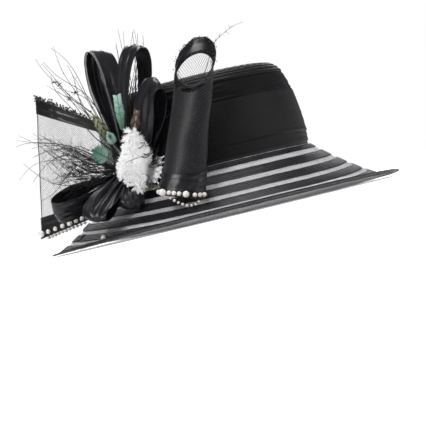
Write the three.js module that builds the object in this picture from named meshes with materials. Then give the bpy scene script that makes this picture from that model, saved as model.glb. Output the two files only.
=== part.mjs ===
// A wide-brim dress sun hat with a bow and feather trim, in millimetres, +Z up.
// The hat stands on its rim. The face side of the hat is -Y and the wearer's left is +X.
import * as THREE from 'three';
import { mergeVertices } from 'three/addons/utils/BufferGeometryUtils.js';

// Driving dimensions of the hat body.
const CROWN_SIDE = 91; // half width of the crown at the seam
const CROWN_FRONT = 102.5; // half length of the crown at the seam
const CROWN_MEAN = (CROWN_SIDE + CROWN_FRONT) / 2;
const CROWN_WALL = 2;
const SEAM_Z = 48; // height of the brim's inner edge over the rim
const RIM_SIDE = 169; // half width of the rim
const RIM_FRONT = 177; // half length of the rim
const BRIM_SLANT = 98; // width of the brim along its slope
const BRIM_FLARE = 0.22; // how far the slope eases towards the rim
const EDGE_START = 91.4; // where the flat sheer edge starts, along the slope
const VALLEY = 77; // lowest line of the turned-up front, along the slope
const LIP_RISE = 7.5; // height that the front of the rim turns up
const LIP_HALF_SPAN = 110; // degrees each side of the front that the rim turns up over
const SHEET = 1.2; // thickness of the sheer sheet
const RIBBON = 1.1; // thickness of a satin ribbon
const CLEARANCE = 0.35; // gap kept between touching pieces
const SEGMENTS = 32; // facets round the head
const BRIM_STOPS = [0, 10, 26, 42, 58, VALLEY, EDGE_START, BRIM_SLANT]; // where the slope's facets meet

// Crown outline from the seam to the middle of the top.
const CROWN_SECTIONS = [
  { z: 45, share: 1.0 },
  { z: 78, share: 0.988 },
  { z: 104, share: 0.948 },
  { z: 119, share: 0.905 },
  { z: 127, share: 0.85 },
  { z: 132, share: 0.75 },
  { z: 137, share: 0 },
];

// Bands laid round the crown.
const CROWN_BANDS = [
  { name: 'hatband', low: 51.8, high: 103.2, thickness: 1.5, color: 0x1c1b1e, roughness: 0.55 },
  { name: 'crown_upper_band', low: 103.7, high: 120.3, thickness: 1.1, color: 0x252427, roughness: 0.5 },
  { name: 'crown_tip_braid', low: 120.8, high: 131.5, thickness: 1.9, color: 0x2b2a2e, roughness: 0.38 },
];

// Satin ribbons laid round the brim, from and to along its slope.
const BRIM_BANDS = [
  { from: 1.5, to: 7 },
  { from: 13, to: 23 },
  { from: 29, to: 39 },
  { from: 45, to: 55 },
  { from: 61, to: 71 },
  { from: 77.5, to: 90.7 },
];

// Colours and roughness of the trim's cloths and feathers.
const SATIN = { color: 0x201f24, roughness: 0.32 };
const MESH_CLOTH = { color: 0x2e2d31, roughness: 0.6 };
const ORGANZA = { color: 0x8d8d92, roughness: 0.45 };
const BLACK_FEATHER = { color: 0x1a191b, roughness: 0.7 };
const WHITE_FEATHER = { color: 0xf2f0ee, roughness: 0.85 };
const PEARL = { color: 0xf1ede6, roughness: 0.22 };

// The trim is laid out on its own axes: +X to the right and +Y away, as seen square on.
const TRIM_TURN = THREE.MathUtils.degToRad(-15);
const KNOT = new THREE.Vector3(-76.5, -78.7, 64);
const KNOT_RADIUS = 15;

// Ribbon loops that spring from the knot. The root is the way from the knot's middle to the
// loop's near end, stand is how far that end stands off the knot, end is the loop's far end and
// face is the way that the ribbon's width runs.
const SATIN_LOOPS = [
  {
    name: 'satin_loop_left', width: 23, bulge: 15, stand: 0,
    root: [-8, 32, 114], end: [-80, -44, 178], face: [-0.5, -0.85, 0],
  },
  {
    name: 'satin_loop_middle', width: 22, bulge: 17, stand: 0,
    root: [30, -12, 108], end: [-44, -85, 172], face: [0.35, -0.93, 0],
  },
  {
    name: 'satin_loop_front', width: 27, bulge: 9, stand: 2,
    root: [104, -52, 47], end: [-34, -112, 137], face: [0.8, -0.35, -0.45],
  },
  {
    name: 'low_loop_left', width: 24, bulge: 12, stand: 0,
    root: [-75, -27, -32], end: [-152, -98, 40], face: [0.1, -0.95, 0.3],
  },
  {
    name: 'low_loop_middle', width: 24, bulge: 8, stand: 0,
    root: [-42, -35, -37], end: [-119, -120, 25], face: [-0.35, 0.3, 0.9],
  },
  {
    name: 'low_loop_right', width: 22, bulge: 7, stand: 0,
    root: [-3, -22, -42], end: [-82, -104, 26.5], face: [0.95, -0.2, 0.1],
  },
];
const LOOP_NECK = 0.32; // share of its width that a ribbon keeps where it is gathered
const LOOP_PINCH = 0.25; // share of its bulge that a loop keeps there
const LOOP_POINTS = 22;

// The wide mesh loop that lies out over the brim. Inner is its knot side, outer its fold.
const WIDE_LOOP = {
  innerLow: [-92.7, -79, 32],
  innerHigh: [-90.2, -77, 108],
  outerLow: [-172, -47, 20],
  outerHigh: [-147, -47, 148],
  bulge: 12,
  pinch: 0.3,
};

// The tall mesh loop that stands in front of the crown like a tube.
const ROLL = {
  low: [-35, -133],
  high: [5, -112],
  halfWidth: 20,
  halfDepth: 15,
  topZ: 143,
  topBackRise: 20,
  topRightRise: 8,
  openLift: 26, // height of its open lower corner over the brim
  openBearing: 215, // degrees round the tube where that corner is
};
const BORDER_SHARE = 0.108; // share of the mesh ribbon's width in each satin border
const BORDER_GAP = 0.009; // share of that width between a border and the mesh
const MESH_SHEET = 1.4;

// Feathers with a bare stem. Vane gives their half width.
const FEATHERS = [
  { name: 'mint_feather', end: [-71, -106, 132], vane: 6.5, stem: 0.66, color: 0x9cc4b2 },
  { name: 'round_feather', end: [-88, -98, 101], vane: 5, stem: 0.6, color: 0xb8d2c2 },
  { name: 'teal_feather', end: [-106, -107, 88], vane: 8, stem: 0.35, color: 0x6d9c88 },
  { name: 'barred_feather', end: [-99, -97, 124], vane: 5, stem: 0.4, color: 0xa9ad8b },
  { name: 'brown_feather', end: [-66, -103, 112], vane: 4.5, stem: 0.4, color: 0x7a6a5c },
  { name: 'barred_curl', end: [-57, -107, 37], vane: 5.5, stem: 0.3, color: 0x8d8b6c },
  { name: 'white_tuft', end: [-43, -111, 52], vane: 8, stem: 0.3, color: 0xefedeb },
];
const FEATHER_SHEET = 1.4;

// Sprays of fine black strands, each the flat fan that its strands fill.
const SPRAYS = [
  { name: 'spray_left', end: [-173, -130, 83], spread: 35, neck: 0.16, face: [0.3, -1, 0] },
  { name: 'spray_quills', end: [-130, -84, 187], spread: 18, neck: 0.3, face: [0.2, -1, 0] },
  { name: 'spray_top', end: [-45, -46, 190], spread: 15, neck: 0.66, face: [0, -1, 0.1] },
  { name: 'spray_right', end: [-37, -104, 68], spread: 11, neck: 0.3, face: [0.5, -1, 0.1] },
];
const SPRAY_SHEET = 2.4;

// The white feather pad in front of the knot: its outline seen square on.
const PAD_OUTLINE = [
  { right: -65, up: 104 },
  { right: -58, up: 95 },
  { right: -50, up: 77 },
  { right: -52, up: 65 },
  { right: -56, up: 47 },
  { right: -67, up: 33 },
  { right: -75, up: 37 },
  { right: -85, up: 53 },
  { right: -89, up: 74 },
  { right: -83, up: 85 },
  { right: -75, up: 99 },
];
const PAD_THICKNESS = 6;
const PAD_BACK = -106.1; // where the pad's back is at the height of the knot
const PAD_LEAN = 0.04; // how far its foot stands out, for each unit of height

// Pearls on the wide loop's lower edge: share is how far out along the loop.
const WIDE_LOOP_PEARLS = [
  { share: 0.97, radius: 2.9 },
  { share: 0.89, radius: 2.1 },
  { share: 0.8, radius: 2.1 },
  { share: 0.71, radius: 2.2 },
  { share: 0.62, radius: 2.6 },
  { share: 0.545, radius: 2.05 },
  { share: 0.47, radius: 2.05 },
];
// Pearls on the tall loop's lower edge: bearing is degrees round it.
const ROLL_PEARLS = [
  { bearing: 205, radius: 2.2 },
  { bearing: 222, radius: 3.3 },
  { bearing: 238, radius: 2.1 },
  { bearing: 250, radius: 2.1 },
  { bearing: 262, radius: 2.1 },
  { bearing: 277, radius: 3.0 },
  { bearing: 298, radius: 2.1 },
  { bearing: 312, radius: 2.1 },
  { bearing: 326, radius: 2.2 },
];
// The small beads strung along the same edges, and one pearl on the brim.
const BEAD_RADIUS = 1.4;
const THREAD_RADIUS = 0.5;
const BEAD_SIDES = 5;
const WIDE_LOOP_BEADS = { from: 0.42, to: 0.92, count: 12 }; // shares out along the loop
const TALL_LOOP_BEADS = { from: 236, to: 318, count: 8, sag: 6 }; // degrees round the loop
const BRIM_PEARL = { right: -113, back: -107, lift: 0.15, radius: 2.4 };

const hat = new THREE.Group();
const trim = new THREE.Group();
trim.rotation.z = TRIM_TURN;
hat.add(trim);

/** Returns the value at a share of the way from one number to another. */
function between(from, to, share) {
  return from + (to - from) * share;
}

/** Returns the point at a share of the way between two [x, y, z] lists. */
function pointBetween(from, to, share) {
  return from.map((value, axis) => between(value, to[axis], share));
}

/** Returns six times the signed volume of an indexed geometry. */
function signedVolume(geometry) {
  const position = geometry.attributes.position;
  const corners = [new THREE.Vector3(), new THREE.Vector3(), new THREE.Vector3()];
  let total = 0;
  for (let i = 0; i < geometry.index.count; i += 3) {
    corners.forEach((corner, k) => corner.fromBufferAttribute(position, geometry.index.getX(i + k)));
    total += corners[0].dot(corners[1].clone().cross(corners[2]));
  }
  return total;
}

/** Drops collapsed triangles, joins shared corners and turns the faces outwards. */
function closed(geometry) {
  geometry.deleteAttribute('normal');
  geometry.deleteAttribute('uv');
  const merged = mergeVertices(geometry, 1e-3);
  const index = Array.from(merged.index.array);
  const kept = [];
  for (let i = 0; i < index.length; i += 3) {
    const [a, b, c] = index.slice(i, i + 3);
    if (a !== b && b !== c && c !== a) {
      kept.push(a, b, c);
    }
  }
  merged.setIndex(kept);
  if (signedVolume(merged) < 0) {
    for (let i = 0; i < kept.length; i += 3) {
      [kept[i], kept[i + 1]] = [kept[i + 1], kept[i]];
    }
    merged.setIndex(kept);
  }
  return merged;
}

/** Moves each corner of a geometry to the [x, y, z] that the place function gives. */
function warped(geometry, place) {
  const position = geometry.attributes.position;
  for (let i = 0; i < position.count; i += 1) {
    const [x, y, z] = place(position.getX(i), position.getY(i), position.getZ(i));
    position.setXYZ(i, x, y, z);
  }
  return closed(geometry);
}

/** Adds one named piece to a group. */
function addPiece(group, name, geometry, finish) {
  const material = new THREE.MeshStandardMaterial({
    color: finish.color,
    roughness: finish.roughness ?? 0.8,
    metalness: 0,
  });
  const mesh = new THREE.Mesh(geometry, material);
  mesh.name = name;
  group.add(mesh);
}

/** Returns how strongly the rim turns up at a bearing from the front, 0 to 1. */
function lipWeight(bearing) {
  const share = Math.abs(bearing) / THREE.MathUtils.degToRad(LIP_HALF_SPAN);
  return 1 - THREE.MathUtils.smoothstep(share, 0.2, 1);
}

/** Returns the smooth height of the brim's underside at a distance along its slope. */
function smoothBrimHeight(along, bearing) {
  const out = Math.min(1, along / EDGE_START);
  const plain = SEAM_Z * (1 - out) * (1 - BRIM_FLARE * out);
  const lipShare = Math.max(0, (along - VALLEY) / (BRIM_SLANT - VALLEY));
  const inner = Math.max(0, 1 - along / VALLEY);
  const turned = SEAM_Z * inner ** 1.3 + LIP_RISE * lipShare ** 1.4;
  return between(plain, turned, lipWeight(bearing));
}

/** Returns the height of the brim's underside, straight between its stops. */
function brimHeight(along, bearing) {
  const next = Math.max(1, BRIM_STOPS.findIndex((stop) => stop >= Math.min(along, BRIM_SLANT)));
  const low = BRIM_STOPS[next - 1];
  const high = BRIM_STOPS[next];
  const share = (along - low) / (high - low);
  return between(smoothBrimHeight(low, bearing), smoothBrimHeight(high, bearing), share);
}

/** Returns the brim's half width and half length at a distance along its slope. */
function brimOval(along) {
  const share = along / BRIM_SLANT;
  return [
    between(CROWN_SIDE + CLEARANCE, RIM_SIDE, share),
    between(CROWN_FRONT + CLEARANCE, RIM_FRONT, share),
  ];
}

/** Returns a point over the brim at a distance along its slope, a bearing and a lift. */
function brimPoint(along, bearing, lift) {
  const [side, front] = brimOval(along);
  const z = brimHeight(along, bearing) + lift;
  return [side * Math.sin(bearing), -front * Math.cos(bearing), z];
}

/** Sweeps a closed [distance, height] profile round the head and places its corners. */
function ring(profile, place) {
  const count = profile.length;
  const corners = [];
  const index = [];
  for (let i = 0; i < SEGMENTS; i += 1) {
    const bearing = (i * 2 * Math.PI) / SEGMENTS - Math.PI;
    const here = i * count;
    const beside = ((i + 1) % SEGMENTS) * count;
    profile.forEach(([out, up], j) => {
      const next = (j + 1) % count;
      corners.push(...place(out, bearing, up));
      // Every skin is split on the same diagonal, so that stacked sheets stay clear of each other.
      if (profile[next][0] < out) {
        index.push(here + j, beside + j, here + next, beside + next, here + next, beside + j);
      } else {
        index.push(here + j, beside + j, beside + next, here + j, beside + next, here + next);
      }
    });
  }
  const geometry = new THREE.BufferGeometry();
  geometry.setAttribute('position', new THREE.Float32BufferAttribute(corners, 3));
  geometry.setIndex(index);
  return closed(geometry);
}

/** Returns a sheet that covers the brim between two distances along its slope. */
function brimSheet(from, to, low, high) {
  const stops = [from, ...BRIM_STOPS.filter((stop) => stop > from + 0.01 && stop < to - 0.01), to];
  const under = stops.map((along) => [along, low]);
  const over = stops.map((along) => [along, high]);
  return ring([...under, ...over.reverse()], brimPoint);
}

/** Returns the crown's outer radius at a height, before it is made oval. */
function crownRadius(z) {
  const next = Math.max(1, CROWN_SECTIONS.findIndex((section) => section.z >= z));
  const low = CROWN_SECTIONS[next - 1];
  const high = CROWN_SECTIONS[next];
  return CROWN_MEAN * between(low.share, high.share, (z - low.z) / (high.z - low.z));
}

/** Returns a point of the oval crown for a radius, bearing and height. */
function crownPoint(radius, bearing, z) {
  return [
    radius * (CROWN_SIDE / CROWN_MEAN) * Math.sin(bearing),
    -radius * (CROWN_FRONT / CROWN_MEAN) * Math.cos(bearing),
    z,
  ];
}

/** Returns the hollow crown, open below. */
function crownShell() {
  const outer = CROWN_SECTIONS.map(({ z, share }) => new THREE.Vector2(CROWN_MEAN * share, z));
  const inner = CROWN_SECTIONS.map(({ z, share }, i) => {
    const radius = Math.max(0, CROWN_MEAN * share - (share > 0 ? CROWN_WALL : 0));
    return new THREE.Vector2(radius, i === 0 ? z : z - CROWN_WALL * (1 - share) - 0.2);
  });
  const lathe = new THREE.LatheGeometry([...outer.reverse(), ...inner], SEGMENTS);
  return warped(lathe, (x, y, z) => crownPoint(Math.hypot(x, z), Math.atan2(x, z), y));
}

/** Returns a band that follows the crown between two heights. */
function crownBand({ low, high, thickness }) {
  const inside = CROWN_SECTIONS.map((section) => section.z).filter((z) => z > low && z < high);
  const heights = [low, ...inside, high];
  const near = heights.map((z) => [crownRadius(z) + CLEARANCE + 0.1, z]);
  const far = heights.map((z) => [crownRadius(z) + CLEARANCE + 0.1 + thickness, z]).reverse();
  return ring([...near, ...far], crownPoint);
}

/** Returns the height of the top of the brim's ribbons under a point of the trim. */
function brimTopUnder(x, y) {
  const spot = new THREE.Vector3(x, y, 0).applyAxisAngle(new THREE.Vector3(0, 0, 1), TRIM_TURN);
  let low = 0;
  let high = BRIM_SLANT;
  for (let i = 0; i < 30; i += 1) {
    const middle = (low + high) / 2;
    const [side, front] = brimOval(middle);
    if (Math.hypot(spot.x / side, spot.y / front) > 1) {
      low = middle;
    } else {
      high = middle;
    }
  }
  const [side, front] = brimOval(low);
  const bearing = Math.atan2(spot.x / side, -spot.y / front);
  return brimHeight(low, bearing) + SHEET + CLEARANCE + RIBBON;
}

/** Returns the thin closed ring that a loop of ribbon makes seen along its width. */
function loopShape(length, bulge, pinch, sheet) {
  const outline = (inset) => Array.from({ length: LOOP_POINTS }, (_, i) => {
    const turn = (i * 2 * Math.PI) / LOOP_POINTS;
    const out = (1 - Math.cos(turn)) / 2;
    const swell = bulge * between(pinch, 1, out) - inset;
    return new THREE.Vector2(between(inset, length - inset, out), -swell * Math.sin(turn));
  });
  const shape = new THREE.Shape(outline(0));
  shape.holes.push(new THREE.Path(outline(sheet)));
  return shape;
}

/** Extrudes a shape from 0 to a depth. */
function extruded(shape, depth) {
  return new THREE.ExtrudeGeometry(shape, { depth, steps: 1, bevelEnabled: false });
}

/** Returns the point that stands off the knot's skin in a direction from its middle. */
function rootOf(direction, stand) {
  const way = new THREE.Vector3(...direction).normalize();
  return KNOT.clone().addScaledVector(way, KNOT_RADIUS + CLEARANCE + stand);
}

/** Returns a place function that runs x from a root to an end, with z along a face. */
function springing(root, end, face) {
  const along = new THREE.Vector3(...end).sub(root).normalize();
  const across = new THREE.Vector3(...face);
  across.addScaledVector(along, -across.dot(along)).normalize();
  const up = new THREE.Vector3().crossVectors(across, along);
  return (x, y, z) => {
    const point = root.clone().addScaledVector(along, x).addScaledVector(up, y);
    return point.addScaledVector(across, z).toArray();
  };
}

/** Returns a satin loop, gathered at the knot. */
function satinLoop({ root, stand, end, face, width, bulge }) {
  const start = rootOf(root, stand);
  const length = start.distanceTo(new THREE.Vector3(...end));
  const place = springing(start, end, face);
  const shape = loopShape(length, bulge, LOOP_PINCH, RIBBON);
  return warped(extruded(shape, 1), (x, y, z) => {
    const gather = between(LOOP_NECK, 1, Math.min(1, Math.max(0, (1.6 * x) / length)));
    return place(x, y, (z - 0.5) * width * gather);
  });
}

/** Returns the outline of a feather: a bare stem, then an oval vane. */
function featherShape(length, vane, stem) {
  const stemHalf = 0.7;
  const vaneStart = length * stem;
  const shape = new THREE.Shape();
  shape.moveTo(0, -stemHalf);
  shape.lineTo(vaneStart, -stemHalf);
  shape.quadraticCurveTo(between(vaneStart, length, 0.1), -vane, between(vaneStart, length, 0.55), -vane);
  shape.quadraticCurveTo(length, -vane, length, 0);
  shape.quadraticCurveTo(length, vane, between(vaneStart, length, 0.55), vane);
  shape.quadraticCurveTo(between(vaneStart, length, 0.1), vane, vaneStart, stemHalf);
  shape.lineTo(0, stemHalf);
  return shape;
}

/** Returns the outline of a spray: a narrow neck, then a fan with a rounded end. */
function fanShape(length, spread, neck) {
  const neckHalf = 1.6;
  const shape = new THREE.Shape();
  shape.moveTo(0, -neckHalf);
  shape.lineTo(length * neck, -neckHalf);
  shape.quadraticCurveTo(between(length * neck, length, 0.5), -spread, length * 0.88, -spread);
  shape.quadraticCurveTo(length * 1.12, 0, length * 0.88, spread);
  shape.quadraticCurveTo(between(length * neck, length, 0.5), spread, length * neck, neckHalf);
  shape.lineTo(0, neckHalf);
  return shape;
}

/** Returns a flat piece that springs from the knot. The outline function takes its length. */
function plume(outline, end, face, sheet) {
  const start = rootOf(new THREE.Vector3(...end).sub(KNOT).toArray(), 0);
  const place = springing(start, end, face);
  const shape = outline(start.distanceTo(new THREE.Vector3(...end)));
  const geometry = new THREE.ExtrudeGeometry(shape, {
    depth: sheet,
    steps: 1,
    bevelEnabled: false,
    curveSegments: 5,
  });
  return warped(geometry, (x, y, z) => place(x, y, z - sheet / 2));
}

/** Returns a point of the wide loop: x out along it, y through it and a share of its width. */
function wideLoopPoint(out, through, share) {
  const inner = pointBetween(WIDE_LOOP.innerLow, WIDE_LOOP.innerHigh, share);
  const outer = pointBetween(WIDE_LOOP.outerLow, WIDE_LOOP.outerHigh, share);
  const [x, y, z] = pointBetween(inner, outer, out / WIDE_LOOP_LENGTH);
  return [x, y - through, z];
}

/** Returns a point of the tall loop for an offset from its middle and a share of its height. */
function rollPoint(right, back, share) {
  const bearing = Math.atan2(back / ROLL.halfDepth, right / ROLL.halfWidth);
  const footX = ROLL.low[0] + right;
  const footY = ROLL.low[1] + back;
  const open = (1 + Math.cos(bearing - THREE.MathUtils.degToRad(ROLL.openBearing))) / 2;
  const footZ = brimTopUnder(footX, footY) + 0.5 + ROLL.openLift * open;
  const rightRise = (ROLL.topRightRise * right) / ROLL.halfWidth;
  const topZ = ROLL.topZ + (ROLL.topBackRise * back) / ROLL.halfDepth + rightRise;
  const middle = pointBetween(ROLL.low, ROLL.high, share);
  return [middle[0] + right, middle[1] + back, between(footZ, topZ, share)];
}

/** Returns a point on the wide loop's front skin, for the shares out along and up it. */
function wideLoopFront(out, up) {
  const turn = Math.acos(1 - 2 * out);
  const through = WIDE_LOOP.bulge * Math.sin(turn) * between(WIDE_LOOP.pinch, 1, out);
  return wideLoopPoint(out * WIDE_LOOP_LENGTH, through, up);
}

/** Returns a point on the tall loop's outer skin, for a bearing in degrees and a share up it. */
function rollSkin(bearing, up) {
  const turn = THREE.MathUtils.degToRad(bearing);
  return rollPoint(ROLL.halfWidth * Math.cos(turn), ROLL.halfDepth * Math.sin(turn), up);
}

/** Adds the two satin borders and the mesh between them, along one wide ribbon. */
function addMeshRibbon(name, shape, place) {
  const panelLow = BORDER_SHARE + BORDER_GAP;
  const parts = [
    { part: 'border_low', low: 0, high: BORDER_SHARE, finish: SATIN },
    { part: 'panel', low: panelLow, high: 1 - panelLow, finish: MESH_CLOTH },
    { part: 'border_top', low: 1 - BORDER_SHARE, high: 1, finish: SATIN },
  ];
  parts.forEach(({ part, low, high, finish }) => {
    const geometry = warped(extruded(shape, 1), (x, y, z) => place(x, y, between(low, high, z)));
    addPiece(trim, `${name}_${part}`, geometry, finish);
  });
}

/** Returns a pearl that rests on a sheet at a point, out along the sheet's normal. */
function pearlOn(point, normal, radius) {
  const geometry = new THREE.IcosahedronGeometry(radius, 1);
  const centre = new THREE.Vector3(...point).addScaledVector(normal, radius + CLEARANCE);
  return warped(geometry, (x, y, z) => [x + centre.x, y + centre.y, z + centre.z]);
}

/** Returns a string of small beads. The place function gives the point at a value and a share. */
function stringUnder({ from, to, count }, place) {
  const shares = Array.from({ length: 2 * count + 1 }, (_, i) => i / (2 * count));
  const spots = shares.map((share) => new THREE.Vector3(...place(between(from, to, share), share)));
  const curve = new THREE.CatmullRomCurve3(spots);
  const profile = [new THREE.Vector2(0, 0)];
  for (let i = 0; i < count; i += 1) {
    profile.push(new THREE.Vector2(THREAD_RADIUS, (i + 0.05) / count));
    profile.push(new THREE.Vector2(BEAD_RADIUS, (i + 0.32) / count));
    profile.push(new THREE.Vector2(BEAD_RADIUS, (i + 0.68) / count));
    profile.push(new THREE.Vector2(THREAD_RADIUS, (i + 0.95) / count));
  }
  profile.push(new THREE.Vector2(0, 1));
  const lathe = new THREE.LatheGeometry(profile.reverse(), BEAD_SIDES);
  return warped(lathe, (x, y, z) => {
    const share = Math.min(1, Math.max(0, y));
    const point = curve.getPointAt(share);
    const along = curve.getTangentAt(share);
    const side = new THREE.Vector3(0, 0, 1).cross(along).normalize();
    const up = new THREE.Vector3().crossVectors(along, side);
    return point.addScaledVector(side, x).addScaledVector(up, z).toArray();
  });
}

const WIDE_LOOP_LENGTH = new THREE.Vector3(...pointBetween(WIDE_LOOP.innerLow, WIDE_LOOP.innerHigh, 0.5))
  .distanceTo(new THREE.Vector3(...pointBetween(WIDE_LOOP.outerLow, WIDE_LOOP.outerHigh, 0.5)));

/** Builds the crown and the bands round it. */
function buildCrown() {
  addPiece(hat, 'crown', crownShell(), { color: 0x1e1d20, roughness: 0.5 });
  CROWN_BANDS.forEach((band) => addPiece(hat, band.name, crownBand(band), band));
}

/** Builds the sheer brim, its satin ribbons and its sheer edge. */
function buildBrim() {
  addPiece(hat, 'brim_sheer', brimSheet(0, EDGE_START - CLEARANCE, 0, SHEET), ORGANZA);
  const low = SHEET + CLEARANCE;
  BRIM_BANDS.forEach(({ from, to }, i) => {
    addPiece(hat, `brim_ribbon_${i + 1}`, brimSheet(from, to, low, low + RIBBON), SATIN);
  });
  addPiece(hat, 'brim_edge', brimSheet(EDGE_START, BRIM_SLANT, 0, RIBBON + SHEET), ORGANZA);
}

/** Builds the knot, the satin loops and the two wide mesh loops. */
function buildRibbons() {
  const knot = new THREE.IcosahedronGeometry(KNOT_RADIUS, 2);
  const placed = warped(knot, (x, y, z) => [x + KNOT.x, y + KNOT.y, z + KNOT.z]);
  addPiece(trim, 'trim_knot', placed, SATIN);
  SATIN_LOOPS.forEach((loop) => addPiece(trim, loop.name, satinLoop(loop), SATIN));
  const wide = loopShape(WIDE_LOOP_LENGTH, WIDE_LOOP.bulge, WIDE_LOOP.pinch, MESH_SHEET);
  addMeshRibbon('wide_loop', wide, wideLoopPoint);
  const tall = new THREE.Shape();
  tall.absellipse(0, 0, ROLL.halfWidth, ROLL.halfDepth, 0, 2 * Math.PI, false);
  const hole = new THREE.Path();
  hole.absellipse(0, 0, ROLL.halfWidth - MESH_SHEET, ROLL.halfDepth - MESH_SHEET, 0, 2 * Math.PI, false);
  tall.holes.push(hole);
  addMeshRibbon('tall_loop', tall, rollPoint);
}

/** Builds the feathers, the white pad and the sprays of strands. */
function buildFeathers() {
  FEATHERS.forEach(({ name, end, vane, stem, color }) => {
    const outline = (length) => featherShape(length, vane, stem);
    addPiece(trim, name, plume(outline, end, [0.1, -1, 0.1], FEATHER_SHEET), { color });
  });
  SPRAYS.forEach(({ name, end, spread, neck, face }) => {
    const outline = (length) => fanShape(length, spread, neck);
    addPiece(trim, name, plume(outline, end, face, SPRAY_SHEET), BLACK_FEATHER);
  });
  const outline = PAD_OUTLINE.map(({ right, up }) => new THREE.Vector2(right, up));
  const pad = warped(extruded(new THREE.Shape(outline), PAD_THICKNESS), (x, y, z) => {
    const foot = PAD_LEAN * (KNOT.z - y);
    return [x, PAD_BACK - foot - z, y];
  });
  addPiece(trim, 'white_feather_pad', pad, WHITE_FEATHER);
}

/** Builds the pearls and the strings of small beads on the mesh loops' lower edges. */
function buildPearls() {
  const edge = 0.03;
  WIDE_LOOP_PEARLS.forEach(({ share, radius }, i) => {
    const normal = new THREE.Vector3(-Math.max(0, share - 0.5), -1, 0).normalize();
    const pearl = pearlOn(wideLoopFront(share, edge), normal, radius);
    addPiece(trim, `wide_loop_pearl_${i + 1}`, pearl, PEARL);
  });
  ROLL_PEARLS.forEach(({ bearing, radius }, i) => {
    const turn = THREE.MathUtils.degToRad(bearing);
    const normal = new THREE.Vector3(Math.cos(turn) / ROLL.halfWidth, Math.sin(turn) / ROLL.halfDepth, 0);
    const pearl = pearlOn(rollSkin(bearing, edge), normal.normalize(), radius);
    addPiece(trim, `tall_loop_pearl_${i + 1}`, pearl, PEARL);
  });
  const wide = stringUnder(WIDE_LOOP_BEADS, (share) => {
    const [x, y, z] = wideLoopFront(share, 0);
    return [x, y + MESH_SHEET / 2, z - BEAD_RADIUS - CLEARANCE];
  });
  addPiece(trim, 'wide_loop_beads', wide, PEARL);
  const tall = stringUnder(TALL_LOOP_BEADS, (bearing, along) => {
    const [x, y, z] = rollSkin(bearing, 0);
    const fall = THREAD_RADIUS + CLEARANCE + TALL_LOOP_BEADS.sag * Math.sin(Math.PI * along);
    return [x, y + MESH_SHEET / 2, z - fall];
  });
  addPiece(trim, 'tall_loop_beads', tall, PEARL);
  const { right, back, lift, radius } = BRIM_PEARL;
  const spot = [right, back, brimTopUnder(right, back) + lift];
  addPiece(trim, 'brim_pearl', pearlOn(spot, new THREE.Vector3(0, 0, 1), radius), PEARL);
}

buildCrown();
buildBrim();
buildRibbons();
buildFeathers();
buildPearls();

// The origin is the middle of the hat's footprint, on the surface that it stands on.
hat.updateMatrixWorld(true);
const box = new THREE.Box3().setFromObject(hat, true);
const middle = box.getCenter(new THREE.Vector3());
hat.position.set(-middle.x, -middle.y, -box.min.z);
const group = new THREE.Group();
group.add(hat);

export default group;
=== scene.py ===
"""A wide-brim dress hat in black satin, sheer cloth and feathers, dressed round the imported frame.

Forms are in millimetres in the hat's own frame; meshes are made in metres in the row's frame.
GAP is the room between a piece and what carries it; BAND to NET are the thicknesses of the cloths.
"""

import logging
import math
from dataclasses import dataclass
from enum import Enum
from typing import Sequence

import bpy
import numpy as np
from mathutils import Matrix, Vector


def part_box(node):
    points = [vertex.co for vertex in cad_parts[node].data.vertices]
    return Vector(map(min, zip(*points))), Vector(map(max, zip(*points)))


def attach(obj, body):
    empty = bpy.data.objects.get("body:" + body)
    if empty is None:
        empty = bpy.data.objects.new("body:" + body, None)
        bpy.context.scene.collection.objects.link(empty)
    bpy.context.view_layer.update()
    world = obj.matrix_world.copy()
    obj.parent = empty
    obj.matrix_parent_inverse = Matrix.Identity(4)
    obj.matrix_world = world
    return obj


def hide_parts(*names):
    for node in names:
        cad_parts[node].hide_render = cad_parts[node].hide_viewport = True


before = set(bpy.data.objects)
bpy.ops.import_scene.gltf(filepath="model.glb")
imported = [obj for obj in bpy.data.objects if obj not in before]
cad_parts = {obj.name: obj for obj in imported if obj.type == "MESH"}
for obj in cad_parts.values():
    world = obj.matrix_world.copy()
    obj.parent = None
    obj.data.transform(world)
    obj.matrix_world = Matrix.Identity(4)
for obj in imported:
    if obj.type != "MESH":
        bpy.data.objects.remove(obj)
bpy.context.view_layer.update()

Array = np.ndarray
Place = tuple[float, float, float]
Colour = tuple[float, float, float]
LOG = logging.getLogger("hat")
MM = 0.001
TAU = 2 * math.pi
CRISP_ANGLE = math.radians(50.0)
GAP = 0.35
BAND, SATIN, RIBBON, SHEER, NET = 0.6, 0.55, 0.5, 0.4, 0.3


def mix(low: Array | float, high: Array | float, share: Array | float) -> Array | float:
    """Returns the value at a share of the way from one value to another."""
    return low + (high - low) * share


def smooth(low: float, high: float, value: Array | float) -> Array | float:
    """Returns a soft step from 0 at the low value to 1 at the high one."""
    share = np.clip((value - low) / (high - low), 0.0, 1.0)
    return share * share * (3 - 2 * share)


def unit(vectors: Array) -> Array:
    """Returns vectors at unit length."""
    return vectors / np.maximum(np.linalg.norm(vectors, axis=-1, keepdims=True), 1e-9)


def arc(path: Array) -> Array:
    """Returns the length along a path at each of its points."""
    steps = np.linalg.norm(np.diff(path, axis=0), axis=-1)
    return np.concatenate([[0.0], np.cumsum(steps)])


def joined(*parts: Array) -> Array:
    """Returns arrays spread to one shape and stacked along a new last axis."""
    return np.stack(np.broadcast_arrays(*parts), -1)


def ring(rows: Array) -> Array:
    """Returns rows with the first one once more at the end."""
    return np.concatenate([rows, rows[:1]])


def halved(line: Array, reach: float) -> Array:
    """Returns a line whose corners are cut off at a share of each side."""
    near, far = mix(line[:-1], line[1:], reach), mix(line[:-1], line[1:], 1 - reach)
    return np.stack([near, far], 1).reshape(-1, line.shape[1])


def strides(count: int) -> Array:
    """Returns shares from 0 to 1 along strands, as strands, steps, 1."""
    return np.linspace(0, 1, count)[None, :, None]


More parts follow.
